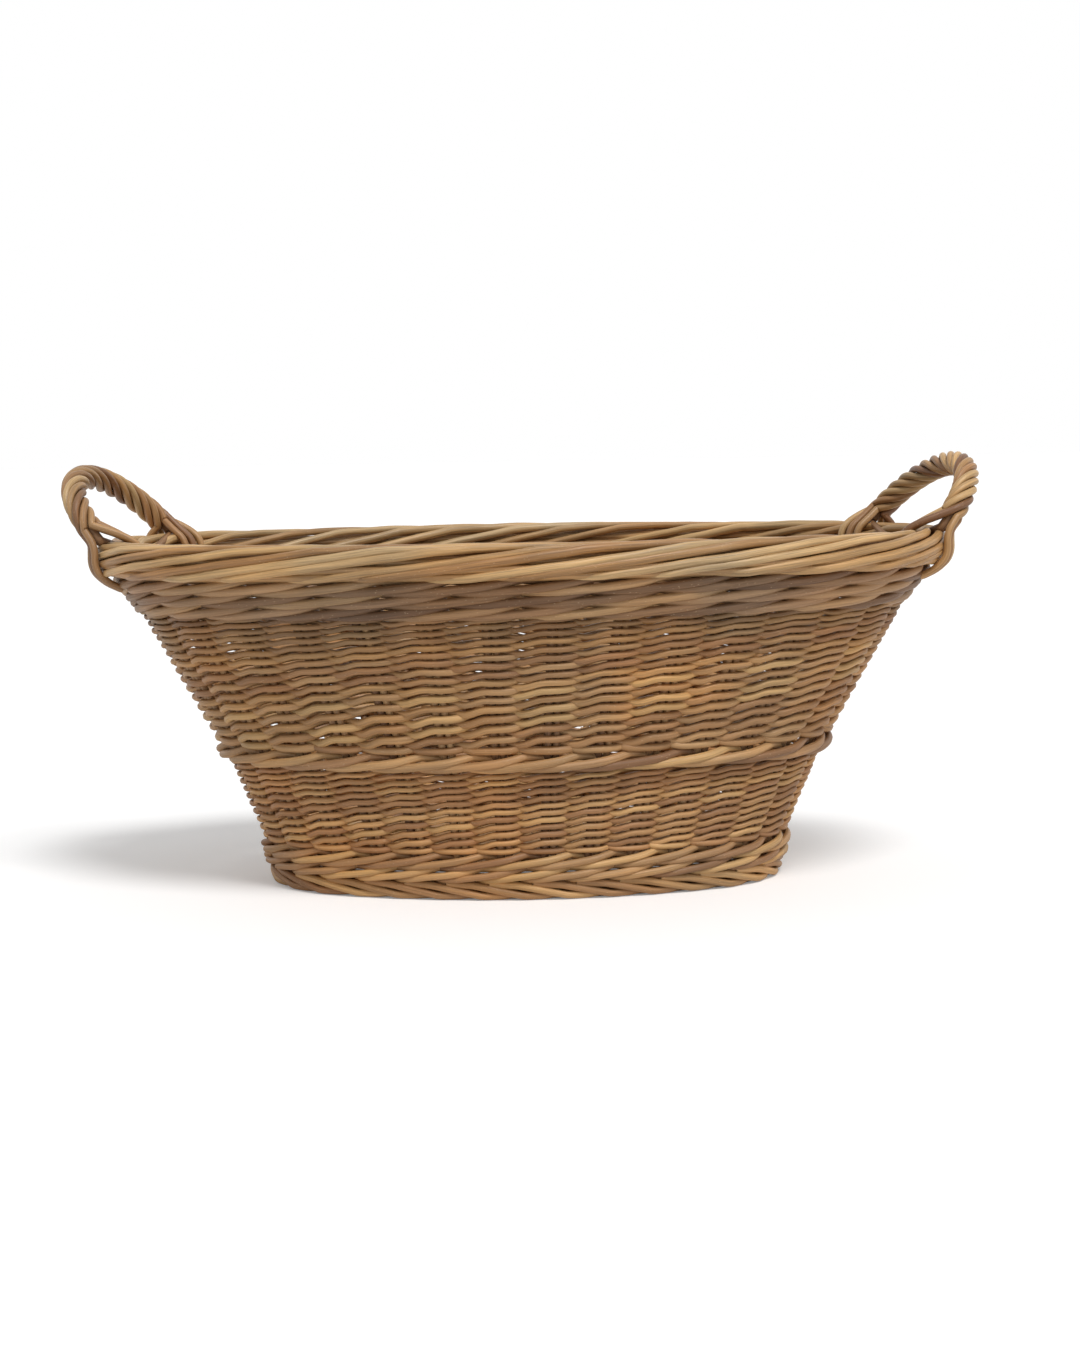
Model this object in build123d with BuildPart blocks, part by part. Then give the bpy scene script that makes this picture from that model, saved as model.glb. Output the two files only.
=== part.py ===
"""Oval willow basket with two rope-twisted handles.

The basket stands on a woven foot. Slit cross sticks and long sticks carry an oval base, stakes and
bye-stakes rise beside the sticks' ends, and bands of weave climb the flaring wall to a rolled border.
A thick bow is pushed into the wall at each end, and strands twist round it and tuck under the border.

Sizes are in millimetres. The long way is X with a handle at each end, the width is Y, and Z is up.
The origin is the middle of the foot's underside.
"""

import math
import os

from build123d import *

# Overall sizes, measured outside
rim_length = 724.0
rim_width = 460.0
foot_length = 438.0
foot_width = 272.0

# Heights of the bands, from the floor up
foot_band = 22.0
upsett_band = 18.0
lower_band = 67.0
middle_band = 18.0
upper_band = 107.0
top_wale_band = 30.0
border_band = 32.0

# Share of the flare that the wall has reached at each level, and of the half width in the end arcs
foot_top_share = 0.014
upsett_top_share = 0.045
lower_top_share = 0.238
upper_top_share = 0.735
wale_top_share = 0.89
end_arc_share = 0.82

# The weave's thicknesses
wall_thickness = 14.0
foot_thickness = 22.0
border_thickness = 32.0
upsett_swell = 1.5
middle_swell = 4.0
top_wale_swell = 1.5
foot_rounding = 7.0
border_rounding = 9.0
border_valley = 2.9
siding_groove = 3.6

# Uprights: a stake and a bye-stake beside each other
stake_count = 32
stake_diameter = 7.0
bye_stake_diameter = 6.0
stake_leg_length = 42.0

# Base: sticks, binding and weave
long_stick_count = 3
cross_stick_count = 5
stick_diameter = 9.0
long_stick_spacing = 11.0
cross_stick_spacing = 41.5
slit_wall = 3.4
slit_taper = 16.0
stick_margin = 3.0
binding_thickness = 2.4
binding_rounding = 4.0
base_thickness = 15.0

# Handles
far_leg_places = 2
near_leg_places = 1
leg_inset = 8.0
bow_diameter = 8.0
bow_tail = 60.0
handle_rise = 52.0
handle_lean = 42.0
handle_skew = 5.0
strand_count = 6
strand_diameter = 4.4
strand_turns = 4
strand_tuck_drop = 8.0
strand_lane = 12.0
strand_play = 0.8

# Angle of a border rod round the border's section, up and in from straight out, at stake spacings run
border_roll = (
    (0.0, -120.0),
    (1.4, -68.0),
    (5.0, 58.0),
    (7.5, 172.0),
    (9.0, 240.0),
)

# Places across a border rod, in rods, and how far each lies down the valley to the next rod
border_rod_shares = (
    (-0.5, 1.0),
    (-0.22, 0.0),
    (0.22, 0.0),
)

# Places across a stake's spacing, in spacings, and how far each lies down the groove to the next stake
siding_flute_shares = (
    (-0.3, 0.0),
    (0.3, 0.0),
    (0.5, 1.0),
)

# Clearances and drawing aids
fit_gap = 0.3
cut_overrun = 3.0
stations_per_turn = 8
parting_station = 2
arch_stations = 20
border_stations = 2
border_seat_share = 0.8
upright_sides = 4
strand_sides = 6
stick_sides = 6
bow_sides = 8

# Worked out from the above
foot_top = foot_band
upsett_top = foot_top + upsett_band
lower_top = upsett_top + lower_band
middle_top = lower_top + middle_band
upper_top = middle_top + upper_band
wale_top = upper_top + top_wale_band
body_height = wale_top + border_band
base_middle = foot_top + base_thickness / 2
base_top = foot_top + base_thickness
rim_half = Vector(rim_length / 2, rim_width / 2)
foot_half = Vector(foot_length / 2, foot_width / 2)
half_wall = wall_thickness / 2
stick_corner = stick_diameter / 2 / math.cos(math.pi / stick_sides)
bow_corner = bow_diameter / 2 / math.cos(math.pi / bow_sides)

up = Vector(0, 0, 1)

# Heights and flare shares between which the wall runs straight
wall_corners = (
    (0.0, 0.0),
    (foot_top, foot_top_share),
    (upsett_top, upsett_top_share),
    (lower_top, lower_top_share),
    (upper_top, upper_top_share),
    (wale_top, wale_top_share),
)


class Oval:
    """An oval of four tangent arcs, some way inside the outline that has the given flare share."""

    def __init__(self, flare_share, inset=0.0):
        outer = foot_half + (rim_half - foot_half) * flare_share
        self.end_radius = outer.Y * end_arc_share - inset
        self.half_length = outer.X - inset
        self.half_width = outer.Y - inset
        self.end_centre = self.half_length - self.end_radius
        rise = self.half_width - self.end_radius
        reach = self.end_centre**2 + self.half_width**2 - self.end_radius**2
        self.side_radius = reach / (2 * rise)
        self.side_centre = self.side_radius - self.half_width
        self.end_angle = math.atan2(self.side_centre, self.end_centre)
        self.end_run = self.end_radius * self.end_angle
        self.quarter = self.end_run + self.side_radius * (math.pi / 2 - self.end_angle)

    def sketch(self, height):
        """The oval's face at a height."""
        end_degrees = math.degrees(self.end_angle)
        side_degrees = 180 - 2 * end_degrees
        with BuildSketch(Plane.XY.offset(height)) as face:
            with BuildLine():
                CenterArc((self.end_centre, 0), self.end_radius, -end_degrees, 2 * end_degrees)
                CenterArc((0, -self.side_centre), self.side_radius, end_degrees, side_degrees)
                CenterArc((-self.end_centre, 0), self.end_radius, 180 - end_degrees, 2 * end_degrees)
                CenterArc((0, self.side_centre), self.side_radius, 180 + end_degrees, side_degrees)
            make_face()
        return face.sketch

    def place(self, turn_share, height):
        """Point at a share of the way round from the +X tip, and the outward direction there."""
        turn = turn_share % 1
        from_tip = min(turn % 0.5, 0.5 - turn % 0.5) * 4 * self.quarter
        across = -1 if 0.25 < turn < 0.75 else 1
        along = -1 if turn > 0.5 else 1
        if from_tip < self.end_run:
            angle = from_tip / self.end_radius
            centre = Vector(self.end_centre, 0)
            radius = self.end_radius
        else:
            angle = self.end_angle + (from_tip - self.end_run) / self.side_radius
            centre = Vector(0, -self.side_centre)
            radius = self.side_radius
        outward = Vector(math.cos(angle), math.sin(angle))
        point = centre + outward * radius
        return Vector(across * point.X, along * point.Y, height), Vector(across * outward.X, along * outward.Y)


class FlutedOval:
    """The outline of a siding: it follows an oval over each stake and goes in by a groove between stakes."""

    def __init__(self, flare_share, inset, groove):
        self.flare_share = flare_share
        self.inset = inset
        self.groove = groove

    def sketch(self, height):
        """The outline's face at a height."""
        corners = []
        for i in range(stake_count):
            for place_share, groove_share in siding_flute_shares:
                oval = Oval(self.flare_share, self.inset + groove_share * self.groove)
                point = oval.place((i + 0.5 + place_share) / stake_count, height)[0]
                corners.append((point.X, point.Y))
        with BuildSketch(Plane.XY.offset(height)) as face:
            Polygon(*corners, align=None)
        return face.sketch


def flare_at(height):
    """Share of the flare at a height, straight between the wall's corners and on past the last."""
    for (low, low_share), (high, high_share) in zip(wall_corners, wall_corners[1:]):
        if height <= high:
            break
    return low_share + (high_share - low_share) * (height - low) / (high - low)


def wall_place(turn_share, height, inset):
    """Point some way inside the wall's outer face, and the outward direction there."""
    return Oval(flare_at(height), inset).place(turn_share, height)


def ring(outer, inner):
    """A ring between two stacks of ovals, each a list of (oval, height)."""
    with BuildPart() as outside:
        for oval, height in outer:
            add(oval.sketch(height))
        loft(ruled=True)
    with BuildPart() as inside:
        for oval, height in inner:
            add(oval.sketch(height))
        loft(ruled=True)
    return outside.part - inside.part


def band(bottom, top, swell):
    """A ring of weave between two heights, bulging outwards by its swell."""
    soft = (top - bottom) / 4
    outer = [
        (Oval(flare_at(bottom)), bottom),
        (Oval(flare_at(bottom + soft), -swell), bottom + soft),
        (Oval(flare_at(top - soft), -swell), top - soft),
        (Oval(flare_at(top)), top),
    ]
    inner = [(Oval(flare_at(height), wall_thickness), height) for height in (bottom, top)]
    return ring(outer, inner)


def siding(bottom, top):
    """A ring of siding between two heights, grooved between the stakes inside and outside."""
    levels = (bottom, top)
    outer = [(FlutedOval(flare_at(height), 0.0, siding_groove), height) for height in levels]
    inner = [(FlutedOval(flare_at(height), wall_thickness, -siding_groove), height) for height in levels]
    return ring(outer, inner)


def round_outline(diameter, sides):
    """Corners of a round rod's outline, its flats one diameter apart."""
    step = 2 * math.pi / sides
    corner = diameter / 2 / math.cos(step / 2)
    angles = [step * (i + 0.5) for i in range(sides)]
    return [Vector(corner * math.cos(angle), corner * math.sin(angle)) for angle in angles]


def flat_outline(width, depth):
    """Corners of a slot's outline, its width along the first axis."""
    return [
        Vector(width / 2, depth / 2),
        Vector(-width / 2, depth / 2),
        Vector(-width / 2, -depth / 2),
        Vector(width / 2, -depth / 2),
    ]


def carried(points, across):
    """Across directions along points that turn no more than the path itself bends."""
    runs = [(after - before).normalized() for before, after in zip(points, points[1:])]
    ways = [(across - runs[0] * across.dot(runs[0])).normalized()]
    for before, after in zip(runs, runs[1:]):
        last = ways[-1]
        ways.append(last - (before + after) * (last.dot(after) / (1 + before.dot(after))))
    return ways + ways[-1:]


def rod(points, across, outline, level_ends=()):
    """A solid that carries an outline along points, mitred at each, with its x axis along across.

    The ends named in level_ends, by 0 or -1, are cut level; the others are cut square.
    """
    level_points = [range(len(points))[end] for end in level_ends]
    runs = [(after - before).normalized() for before, after in zip(points, points[1:])]
    with BuildPart() as one:
        for i, point in enumerate(points):
            run = runs[min(i, len(runs) - 1)]
            cut = up if i in level_points else (run + runs[max(i - 1, 0)]).normalized()
            side = (across[i] - run * across[i].dot(run)).normalized()
            other = run.cross(side)
            section = Plane(origin=point, x_dir=side - cut * side.dot(cut), z_dir=cut)
            corners = []
            for corner in outline:
                offset = side * corner.X + other * corner.Y
                offset -= run * (offset.dot(cut) / run.dot(cut))
                corners.append((offset.dot(section.x_dir), offset.dot(section.y_dir)))
            with BuildSketch(section):
                Polygon(*corners, align=None)
        loft(ruled=True)
    return one.part


# Base sticks lie straight where they cross and fan out to the base's edge
stick_inset = wall_thickness + stick_margin
long_middle = (long_stick_count - 1) / 2
cross_middle = (cross_stick_count - 1) / 2
end_count = 2 * (long_stick_count + cross_stick_count)
slit_half_width = long_middle * long_stick_spacing + stick_corner + fit_gap
slit_half_depth = stick_diameter / 2 + fit_gap
slath_half_width = slit_half_width + binding_thickness + fit_gap
slath_half_length = cross_middle * cross_stick_spacing + stick_corner + fit_gap


def stick_end(number):
    """Tip and bend of a base stick's end; the ends are counted round from the +X tip."""
    n = number % end_count
    half_round = end_count / 2
    quarter_round = end_count / 4
    tip = Oval(foot_top_share, stick_inset).place(n / end_count, base_middle)[0]
    from_plus = n if n < half_round else n - end_count
    from_minus = half_round - n
    long_bend = slath_half_length + stick_diameter
    cross_bend = slit_half_width + slit_taper
    if abs(from_plus) <= long_middle:
        return tip, Vector(long_bend, from_plus * long_stick_spacing, base_middle)
    if abs(from_minus) <= long_middle:
        return tip, Vector(-long_bend, from_minus * long_stick_spacing, base_middle)
    if n < half_round:
        return tip, Vector((quarter_round - n) * cross_stick_spacing, cross_bend, base_middle)
    return tip, Vector((n - 3 * quarter_round) * cross_stick_spacing, -cross_bend, base_middle)


def stick(first_end, last_end, gap=0.0):
    """A base stick from one numbered end to another, or its way through the weave with a gap."""
    first_tip, first_bend = stick_end(first_end)
    last_tip, last_bend = stick_end(last_end)
    run_out = (first_tip - first_bend).normalized() * gap
    run_in = (last_tip - last_bend).normalized() * gap
    points = [first_tip + run_out, first_bend, last_bend, last_tip + run_in]
    return rod(points, [up] * len(points), round_outline(stick_diameter + 2 * gap, stick_sides))


def slit_swelling(x, gap=0.0):
    """The part of a cross stick that opens round the long sticks, from taper to taper."""
    half = slit_half_width
    thin = stick_diameter / 2 + gap
    deep = slit_half_depth + slit_wall + gap
    with BuildPart() as swelling:
        for y, depth in ((-half - slit_taper, thin), (-half, deep), (half, deep), (half + slit_taper, thin)):
            with BuildSketch(Plane.XZ.offset(-y)):
                with Locations((x, base_middle)):
                    Rectangle(2 * thin, 2 * depth)
        loft(ruled=True)
    return swelling.part


def upright_points(turn_share, bottom):
    """Middle line of an upright in the wall, from a bottom height up to the border."""
    heights = (bottom, upsett_top, lower_top, upper_top, wale_top)
    return [wall_place(turn_share, height, half_wall)[0] for height in heights]


def upright_across(turn_share, count):
    """Direction along the wall at an upright, once for each of its points."""
    outward = wall_place(turn_share, upper_top, half_wall)[1]
    return [outward.cross(up)] * count


def stake_share(i):
    """Share of the way round at which a stake and its bye-stake stand."""
    return (i + 0.5) / stake_count


def shifted(points, across, distance):
    """Points moved sideways along their across directions."""
    return [point + side * distance for point, side in zip(points, across)]


pair_width = stake_diameter + fit_gap + bye_stake_diameter
stake_shift = (pair_width - stake_diameter) / 2
bye_shift = -(pair_width - bye_stake_diameter) / 2


def stake(i, gap=0.0, points_used=None):
    """A stake with its leg in the base beside a stick's end, rising to the border."""
    share = stake_share(i)
    points = upright_points(share, base_middle)
    across = upright_across(share, len(points))
    points = shifted(points, across, stake_shift)
    tip, bend = stick_end(round(share * end_count))
    inner = points[0] - (tip - bend).normalized() * (stake_leg_length + gap)
    points = [inner] + points
    across = across[:1] + across
    outline = round_outline(stake_diameter + 2 * gap, upright_sides)
    if points_used:
        return rod(points[:points_used], across[:points_used], outline)
    return rod(points, across, outline, level_ends=(-1,))


def bye_stake(i):
    """A bye-stake beside its stake, from the foot up to the border."""
    share = stake_share(i)
    points = upright_points(share, base_top)
    across = upright_across(share, len(points))
    points = shifted(points, across, bye_shift)
    return rod(points, across, round_outline(bye_stake_diameter, upright_sides), level_ends=(0, -1))


def channel(i):
    """The way through the weave for a stake and its bye-stake."""
    share = stake_share(i)
    points = upright_points(share, foot_top - cut_overrun)
    across = upright_across(share, len(points))
    points[-1] += (points[-1] - points[-2]).normalized() * cut_overrun
    return rod(points, across, flat_outline(pair_width + 2 * fit_gap, stake_diameter + 2 * fit_gap))


# Handle bows: an arch that leans out from the border, with its ends pushed down into the wall
def leg_turn(side, front):
    """Share of the way round at which a bow's leg stands."""
    places = near_leg_places if front else far_leg_places
    share = places / stake_count if side > 0 else 0.5 - places / stake_count
    return -share if front else share


def arch_point(side, turn):
    """Point on a bow's middle line; turn runs from 0 at the back leg to pi at the front leg."""
    back, front = (Oval(1.0, leg_inset).place(leg_turn(1, place), body_height)[0] for place in (False, True))
    foot = back + (front - back) * (1 - math.cos(turn)) / 2
    x = foot.X + handle_lean * math.sin(turn) - handle_skew * math.cos(turn)
    return Vector(side * x, foot.Y, foot.Z + handle_rise * math.sin(turn))


def arch_normal(side):
    """Direction square to a bow's arch, up and in."""
    return Vector(-side * handle_rise, 0, handle_lean).normalized()


def bow_tail_points(side, front):
    """Middle line of a bow's end in the wall, from the border's seat down."""
    levels = (wale_top, body_height - bow_tail)
    return [wall_place(leg_turn(side, front), height, half_wall)[0] for height in levels]


def bow(side):
    """The bow of one handle."""
    arch = [arch_point(side, math.pi * i / arch_stations) for i in range(arch_stations + 1)]
    points = bow_tail_points(side, False)[::-1] + arch + bow_tail_points(side, True)
    return rod(points, [arch_normal(side)] * len(points), round_outline(bow_diameter, bow_sides))


def bow_way(side, front):
    """The way into the border and the wall for one end of a bow."""
    steps = [arch_stations - i if front else i for i in (2, 1, 0)]
    points = [arch_point(side, math.pi * i / arch_stations) for i in steps] + bow_tail_points(side, front)
    points[-1] += (points[-1] - points[-2]).normalized() * fit_gap
    return rod(points, [arch_normal(side)] * len(points), round_outline(bow_diameter + 2 * fit_gap, bow_sides))


# Handle strands: they twist round the bow, part over the border at both legs and tuck in below it
twist_radius = (bow_corner + strand_play + strand_diameter / 2) / math.cos(math.pi / stations_per_turn)
twist_steps = strand_turns * stations_per_turn
strand_seat = strand_play + strand_diameter / 2
tuck_seat = strand_play + strand_diameter / 2 / math.cos(math.pi / strand_sides)


def twist_angle(number, step):
    """Angle of a strand round the bow at a station."""
    return 2 * math.pi * (strand_turns * (step - parting_station) / twist_steps + number / strand_count)


def twist_frame(side, step):
    """Point on the bow at a station, with the directions up-and-in and sideways there."""
    turn = math.pi * step / twist_steps
    sliver = math.pi / twist_steps / stations_per_turn
    along = (arch_point(side, turn + sliver) - arch_point(side, turn - sliver)).normalized()
    normal = arch_normal(side)
    first = (normal - along * normal.dot(along)).normalized()
    return arch_point(side, turn), first, along.cross(first)


def strand_tail(side, front, number):
    """A strand's way over the border at one leg."""
    step = twist_steps - parting_station if front else parting_station
    angle = twist_angle(number, step)
    turn = leg_turn(side, front)
    sideways = Oval(1.0).place(turn, body_height)[1].cross(up)
    lane = round(math.sin(angle)) * strand_lane * math.copysign(1, twist_frame(side, step)[2].dot(sideways))
    inside = math.cos(angle) > 0
    bevel = strand_seat * math.tan(math.pi / 8)
    seat = border_thickness + strand_seat if inside else -strand_seat
    tuck = wall_thickness + tuck_seat if inside else -top_wale_swell - tuck_seat
    tuck_height = wale_top - strand_tuck_drop
    ovals = [
        (Oval(1.0, seat), body_height - border_rounding + bevel),
        (Oval(1.0, seat), wale_top + border_rounding - bevel),
        (Oval(flare_at(tuck_height), tuck), tuck_height),
    ]
    if inside:
        over = border_thickness - border_rounding + bevel
        ovals.insert(0, (Oval(1.0, over), body_height + strand_seat))
    else:
        ovals.insert(2, (Oval(1.0, border_rounding - bevel), wale_top - strand_seat))
    return [oval.place(turn - lane / (4 * oval.quarter), height)[0] for oval, height in ovals]


def strand(side, number):
    """One strand of a handle, from its tuck below the border at one leg to that at the other."""
    points = []
    for step in range(parting_station, twist_steps - parting_station + 1):
        here, first, second = twist_frame(side, step)
        angle = twist_angle(number, step)
        points.append(here + (first * math.cos(angle) + second * math.sin(angle)) * twist_radius)
    for front in (True, False):
        points += strand_tail(side, front, number)
        points.reverse()
    return rod(points, carried(points, up.cross(points[0])), round_outline(strand_diameter, strand_sides))


def foot_ring():
    """The foot's border, rounded at the floor's edge."""
    outer = [
        (Oval(0.0, foot_rounding), 0.0),
        (Oval(flare_at(foot_rounding)), foot_rounding),
        (Oval(foot_top_share), foot_top),
    ]
    inner = [(Oval(flare_at(height), foot_thickness), height) for height in (0.0, foot_top)]
    return ring(outer, inner)


def roll_angle(spacings):
    """Angle round the border's section that a border rod has reached after some stake spacings."""
    rounds, part = divmod(spacings, border_roll[-1][0])
    for (before, first), (after, last) in zip(border_roll, border_roll[1:]):
        if part <= after:
            break
    return math.radians(360 * rounds + first + (last - first) * (part - before) / (after - before))


def border_place(along, spacings, valley_share):
    """Point on the rolled border: where along it, how far its rod has run, and its share of the valley's depth."""
    angle = roll_angle(spacings)
    out = math.cos(angle)
    rise = math.sin(angle)
    half = border_thickness / 2
    reach = min(half / max(abs(out), abs(rise)), (2 * half - border_rounding) / (abs(out) + abs(rise)))
    if rise > -border_seat_share:
        reach -= valley_share * border_valley
    height = wale_top + border_band / 2 + reach * rise * border_band / border_thickness
    return Oval(1.0, half - reach * out).place(along / stake_count, height)[0]


def border_ring():
    """The rolled border: rods start low outside, climb it together and go over its top to the inside."""
    rods = round(border_roll[-1][0])
    corner_count = rods * len(border_rod_shares)
    rows = []
    for station in range(stake_count * border_stations):
        along = station / border_stations
        run = along % 1
        rows.append([
            border_place(along, rod_number + run + place_share, valley_share)
            for rod_number in range(rods)
            for place_share, valley_share in border_rod_shares
        ])
    faces = []
    for station, row in enumerate(rows):
        following = rows[(station + 1) % len(rows)]
        passed = len(border_rod_shares) if (station + 1) % border_stations == 0 else 0
        for i in range(corner_count):
            here = row[i]
            beside = row[(i + 1) % corner_count]
            ahead = following[(i + passed) % corner_count]
            across = following[(i + 1 + passed) % corner_count]
            faces.append(Face(Wire.make_polygon([here, beside, across])))
            faces.append(Face(Wire.make_polygon([here, across, ahead])))
    return Solid(Shell(faces))


def base_plate():
    """The base's weave before the sticks and the stakes' legs are let in."""
    edges = [(Oval(flare_at(height), wall_thickness + fit_gap), height) for height in (foot_top, base_top)]
    with BuildPart() as plate:
        for oval, height in edges:
            add(oval.sketch(height))
        loft(ruled=True)
    return plate.part


def write(part, name, colour):
    """Label, colour and export a finished piece."""
    part.label = name
    part.color = Color(colour)
    export_step(part, f"parts/{name}.step")


os.makedirs("parts", exist_ok=True)
channels = [channel(i) for i in range(stake_count)]
legs = [stake(i, fit_gap, 3) for i in range(stake_count)]
bow_ways = [bow_way(side, front) for side in (1, -1) for front in (False, True)]
long_ends = [(end_count / 2 - (i - long_middle), i - long_middle) for i in range(long_stick_count)]
quarter_round = end_count / 4
cross_ends = [(i - cross_middle - quarter_round, quarter_round - (i - cross_middle)) for i in range(cross_stick_count)]

# Base sticks
for i, (first, last) in enumerate(long_ends):
    with BuildPart() as long_stick:
        add(stick(first, last))
    write(long_stick.part, f"base_stick_long_{i + 1}", 0xC09050)

for i, (first, last) in enumerate(cross_ends):
    x = (i - cross_middle) * cross_stick_spacing
    with BuildPart() as cross_stick:
        add(stick(first, last))
        add(slit_swelling(x))
        with BuildSketch(Plane.YZ.offset(x)) as slit:
            with Locations((0, base_middle)):
                Rectangle(2 * slit_half_width, 2 * slit_half_depth)
        extrude(amount=stick_diameter, both=True, mode=Mode.SUBTRACT)
    write(cross_stick.part, f"base_stick_cross_{i + 1}", 0xB88848)

# Binding of the base sticks, one sleeve in each space between the cross sticks
sleeve_length = cross_stick_spacing - 2 * stick_corner - 2 * fit_gap
with BuildPart() as slath_binding:
    for i in range(cross_stick_count - 1):
        x = (i + 0.5 - cross_middle) * cross_stick_spacing
        with BuildSketch(Plane.YZ.offset(x)) as sleeve:
            with Locations((0, base_middle)):
                RectangleRounded(
                    2 * (slit_half_width + binding_thickness),
                    2 * (slit_half_depth + binding_thickness),
                    binding_rounding,
                )
                Rectangle(2 * slit_half_width, 2 * slit_half_depth, mode=Mode.SUBTRACT)
        extrude(amount=sleeve_length / 2, both=True)
write(slath_binding.part, "slath_binding", 0xA87840)

# Base weave
with BuildPart() as base_weave:
    add(base_plate())
    with BuildSketch(Plane.XY.offset(foot_top)) as window:
        Rectangle(2 * slath_half_length, 2 * slath_half_width)
    extrude(amount=base_thickness, mode=Mode.SUBTRACT)
    add([stick(first, last, fit_gap) for first, last in long_ends + cross_ends], mode=Mode.SUBTRACT)
    add(
        [slit_swelling((i - cross_middle) * cross_stick_spacing, fit_gap) for i in range(cross_stick_count)],
        mode=Mode.SUBTRACT,
    )
    add(legs, mode=Mode.SUBTRACT)
write(base_weave.part, "base_weave", 0xB08040)

# Stakes and bye-stakes, in four groups round the wall
group_size = stake_count // 4
group_names = ("right", "back", "left", "front")
for group, group_name in enumerate(group_names):
    members = [(group * group_size + k - group_size // 2) % stake_count for k in range(group_size)]
    with BuildPart() as stakes:
        add([stake(i) for i in members])
    write(stakes.part, f"stakes_{group_name}", 0x9C6C38)
    with BuildPart() as bye_stakes:
        add([bye_stake(i) for i in members])
    write(bye_stakes.part, f"bye_stakes_{group_name}", 0xA47440)

# Bands of weave from the foot to the border
with BuildPart() as foot_border:
    add(foot_ring())
write(foot_border.part, "foot_border", 0xC89858)

with BuildPart() as upsett_wale:
    add(band(foot_top, upsett_top, upsett_swell))
    add(channels + legs, mode=Mode.SUBTRACT)
write(upsett_wale.part, "upsett_wale", 0xA87040)

with BuildPart() as lower_siding:
    add(siding(upsett_top, lower_top))
    add(channels, mode=Mode.SUBTRACT)
write(lower_siding.part, "lower_siding", 0xB88850)

with BuildPart() as middle_wale:
    add(band(lower_top, middle_top, middle_swell))
    add(channels, mode=Mode.SUBTRACT)
write(middle_wale.part, "middle_wale", 0xA06830)

with BuildPart() as upper_siding:
    add(siding(middle_top, upper_top))
    add(channels, mode=Mode.SUBTRACT)
write(upper_siding.part, "upper_siding", 0xB88850)

with BuildPart() as top_wale:
    add(band(upper_top, wale_top, top_wale_swell))
    add(channels + bow_ways, mode=Mode.SUBTRACT)
write(top_wale.part, "top_wale", 0x987048)

with BuildPart() as rim_border:
    add(border_ring())
    add(bow_ways, mode=Mode.SUBTRACT)
write(rim_border.part, "rim_border", 0xD0A868)

# Handles
for side, side_name in ((1, "right"), (-1, "left")):
    with BuildPart() as handle_bow:
        add(bow(side))
    write(handle_bow.part, f"{side_name}_handle_bow", 0x906030)
    for number in range(strand_count):
        with BuildPart() as handle_strand:
            add(strand(side, number))
        write(handle_strand.part, f"{side_name}_handle_strand_{number + 1}", 0xC89860)
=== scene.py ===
"""Looks of an oval willow basket with two rope-twisted handles.

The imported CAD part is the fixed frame. Each band of weave is built from the rods that the maker
would lay: guides run along the wall in stake spacings, and a Geometry Nodes tree sways them in and
out round the stakes and gives them their thickness. Sizes are in metres, places round the basket
are shares of a full turn from the right end, and ways along a rod are counted in stake spacings.
"""

import logging
import math
import random
from collections.abc import Iterable
from dataclasses import dataclass, field
from enum import Enum
from functools import cached_property

import bpy
from mathutils import Matrix, Vector


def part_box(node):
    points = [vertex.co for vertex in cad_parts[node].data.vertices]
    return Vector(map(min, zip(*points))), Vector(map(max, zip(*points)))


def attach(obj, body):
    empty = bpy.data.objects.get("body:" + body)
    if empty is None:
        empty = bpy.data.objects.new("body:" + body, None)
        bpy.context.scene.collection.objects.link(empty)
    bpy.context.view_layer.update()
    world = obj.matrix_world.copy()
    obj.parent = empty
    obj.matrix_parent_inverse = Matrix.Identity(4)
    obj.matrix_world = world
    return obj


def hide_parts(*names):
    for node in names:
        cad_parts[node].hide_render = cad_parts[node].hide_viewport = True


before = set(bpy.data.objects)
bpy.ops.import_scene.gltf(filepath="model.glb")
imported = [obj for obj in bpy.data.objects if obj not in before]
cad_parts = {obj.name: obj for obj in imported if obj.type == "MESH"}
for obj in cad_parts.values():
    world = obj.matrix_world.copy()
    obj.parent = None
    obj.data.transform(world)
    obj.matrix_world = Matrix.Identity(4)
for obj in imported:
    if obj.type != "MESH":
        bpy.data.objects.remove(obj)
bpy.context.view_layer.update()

log = logging.getLogger("basket")

MM = 0.001
UP = Vector((0.0, 0.0, 1.0))
BODY = "root"

Colour = tuple[float, float, float]
Socket = bpy.types.NodeSocket


# The basket's plain shape


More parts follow.
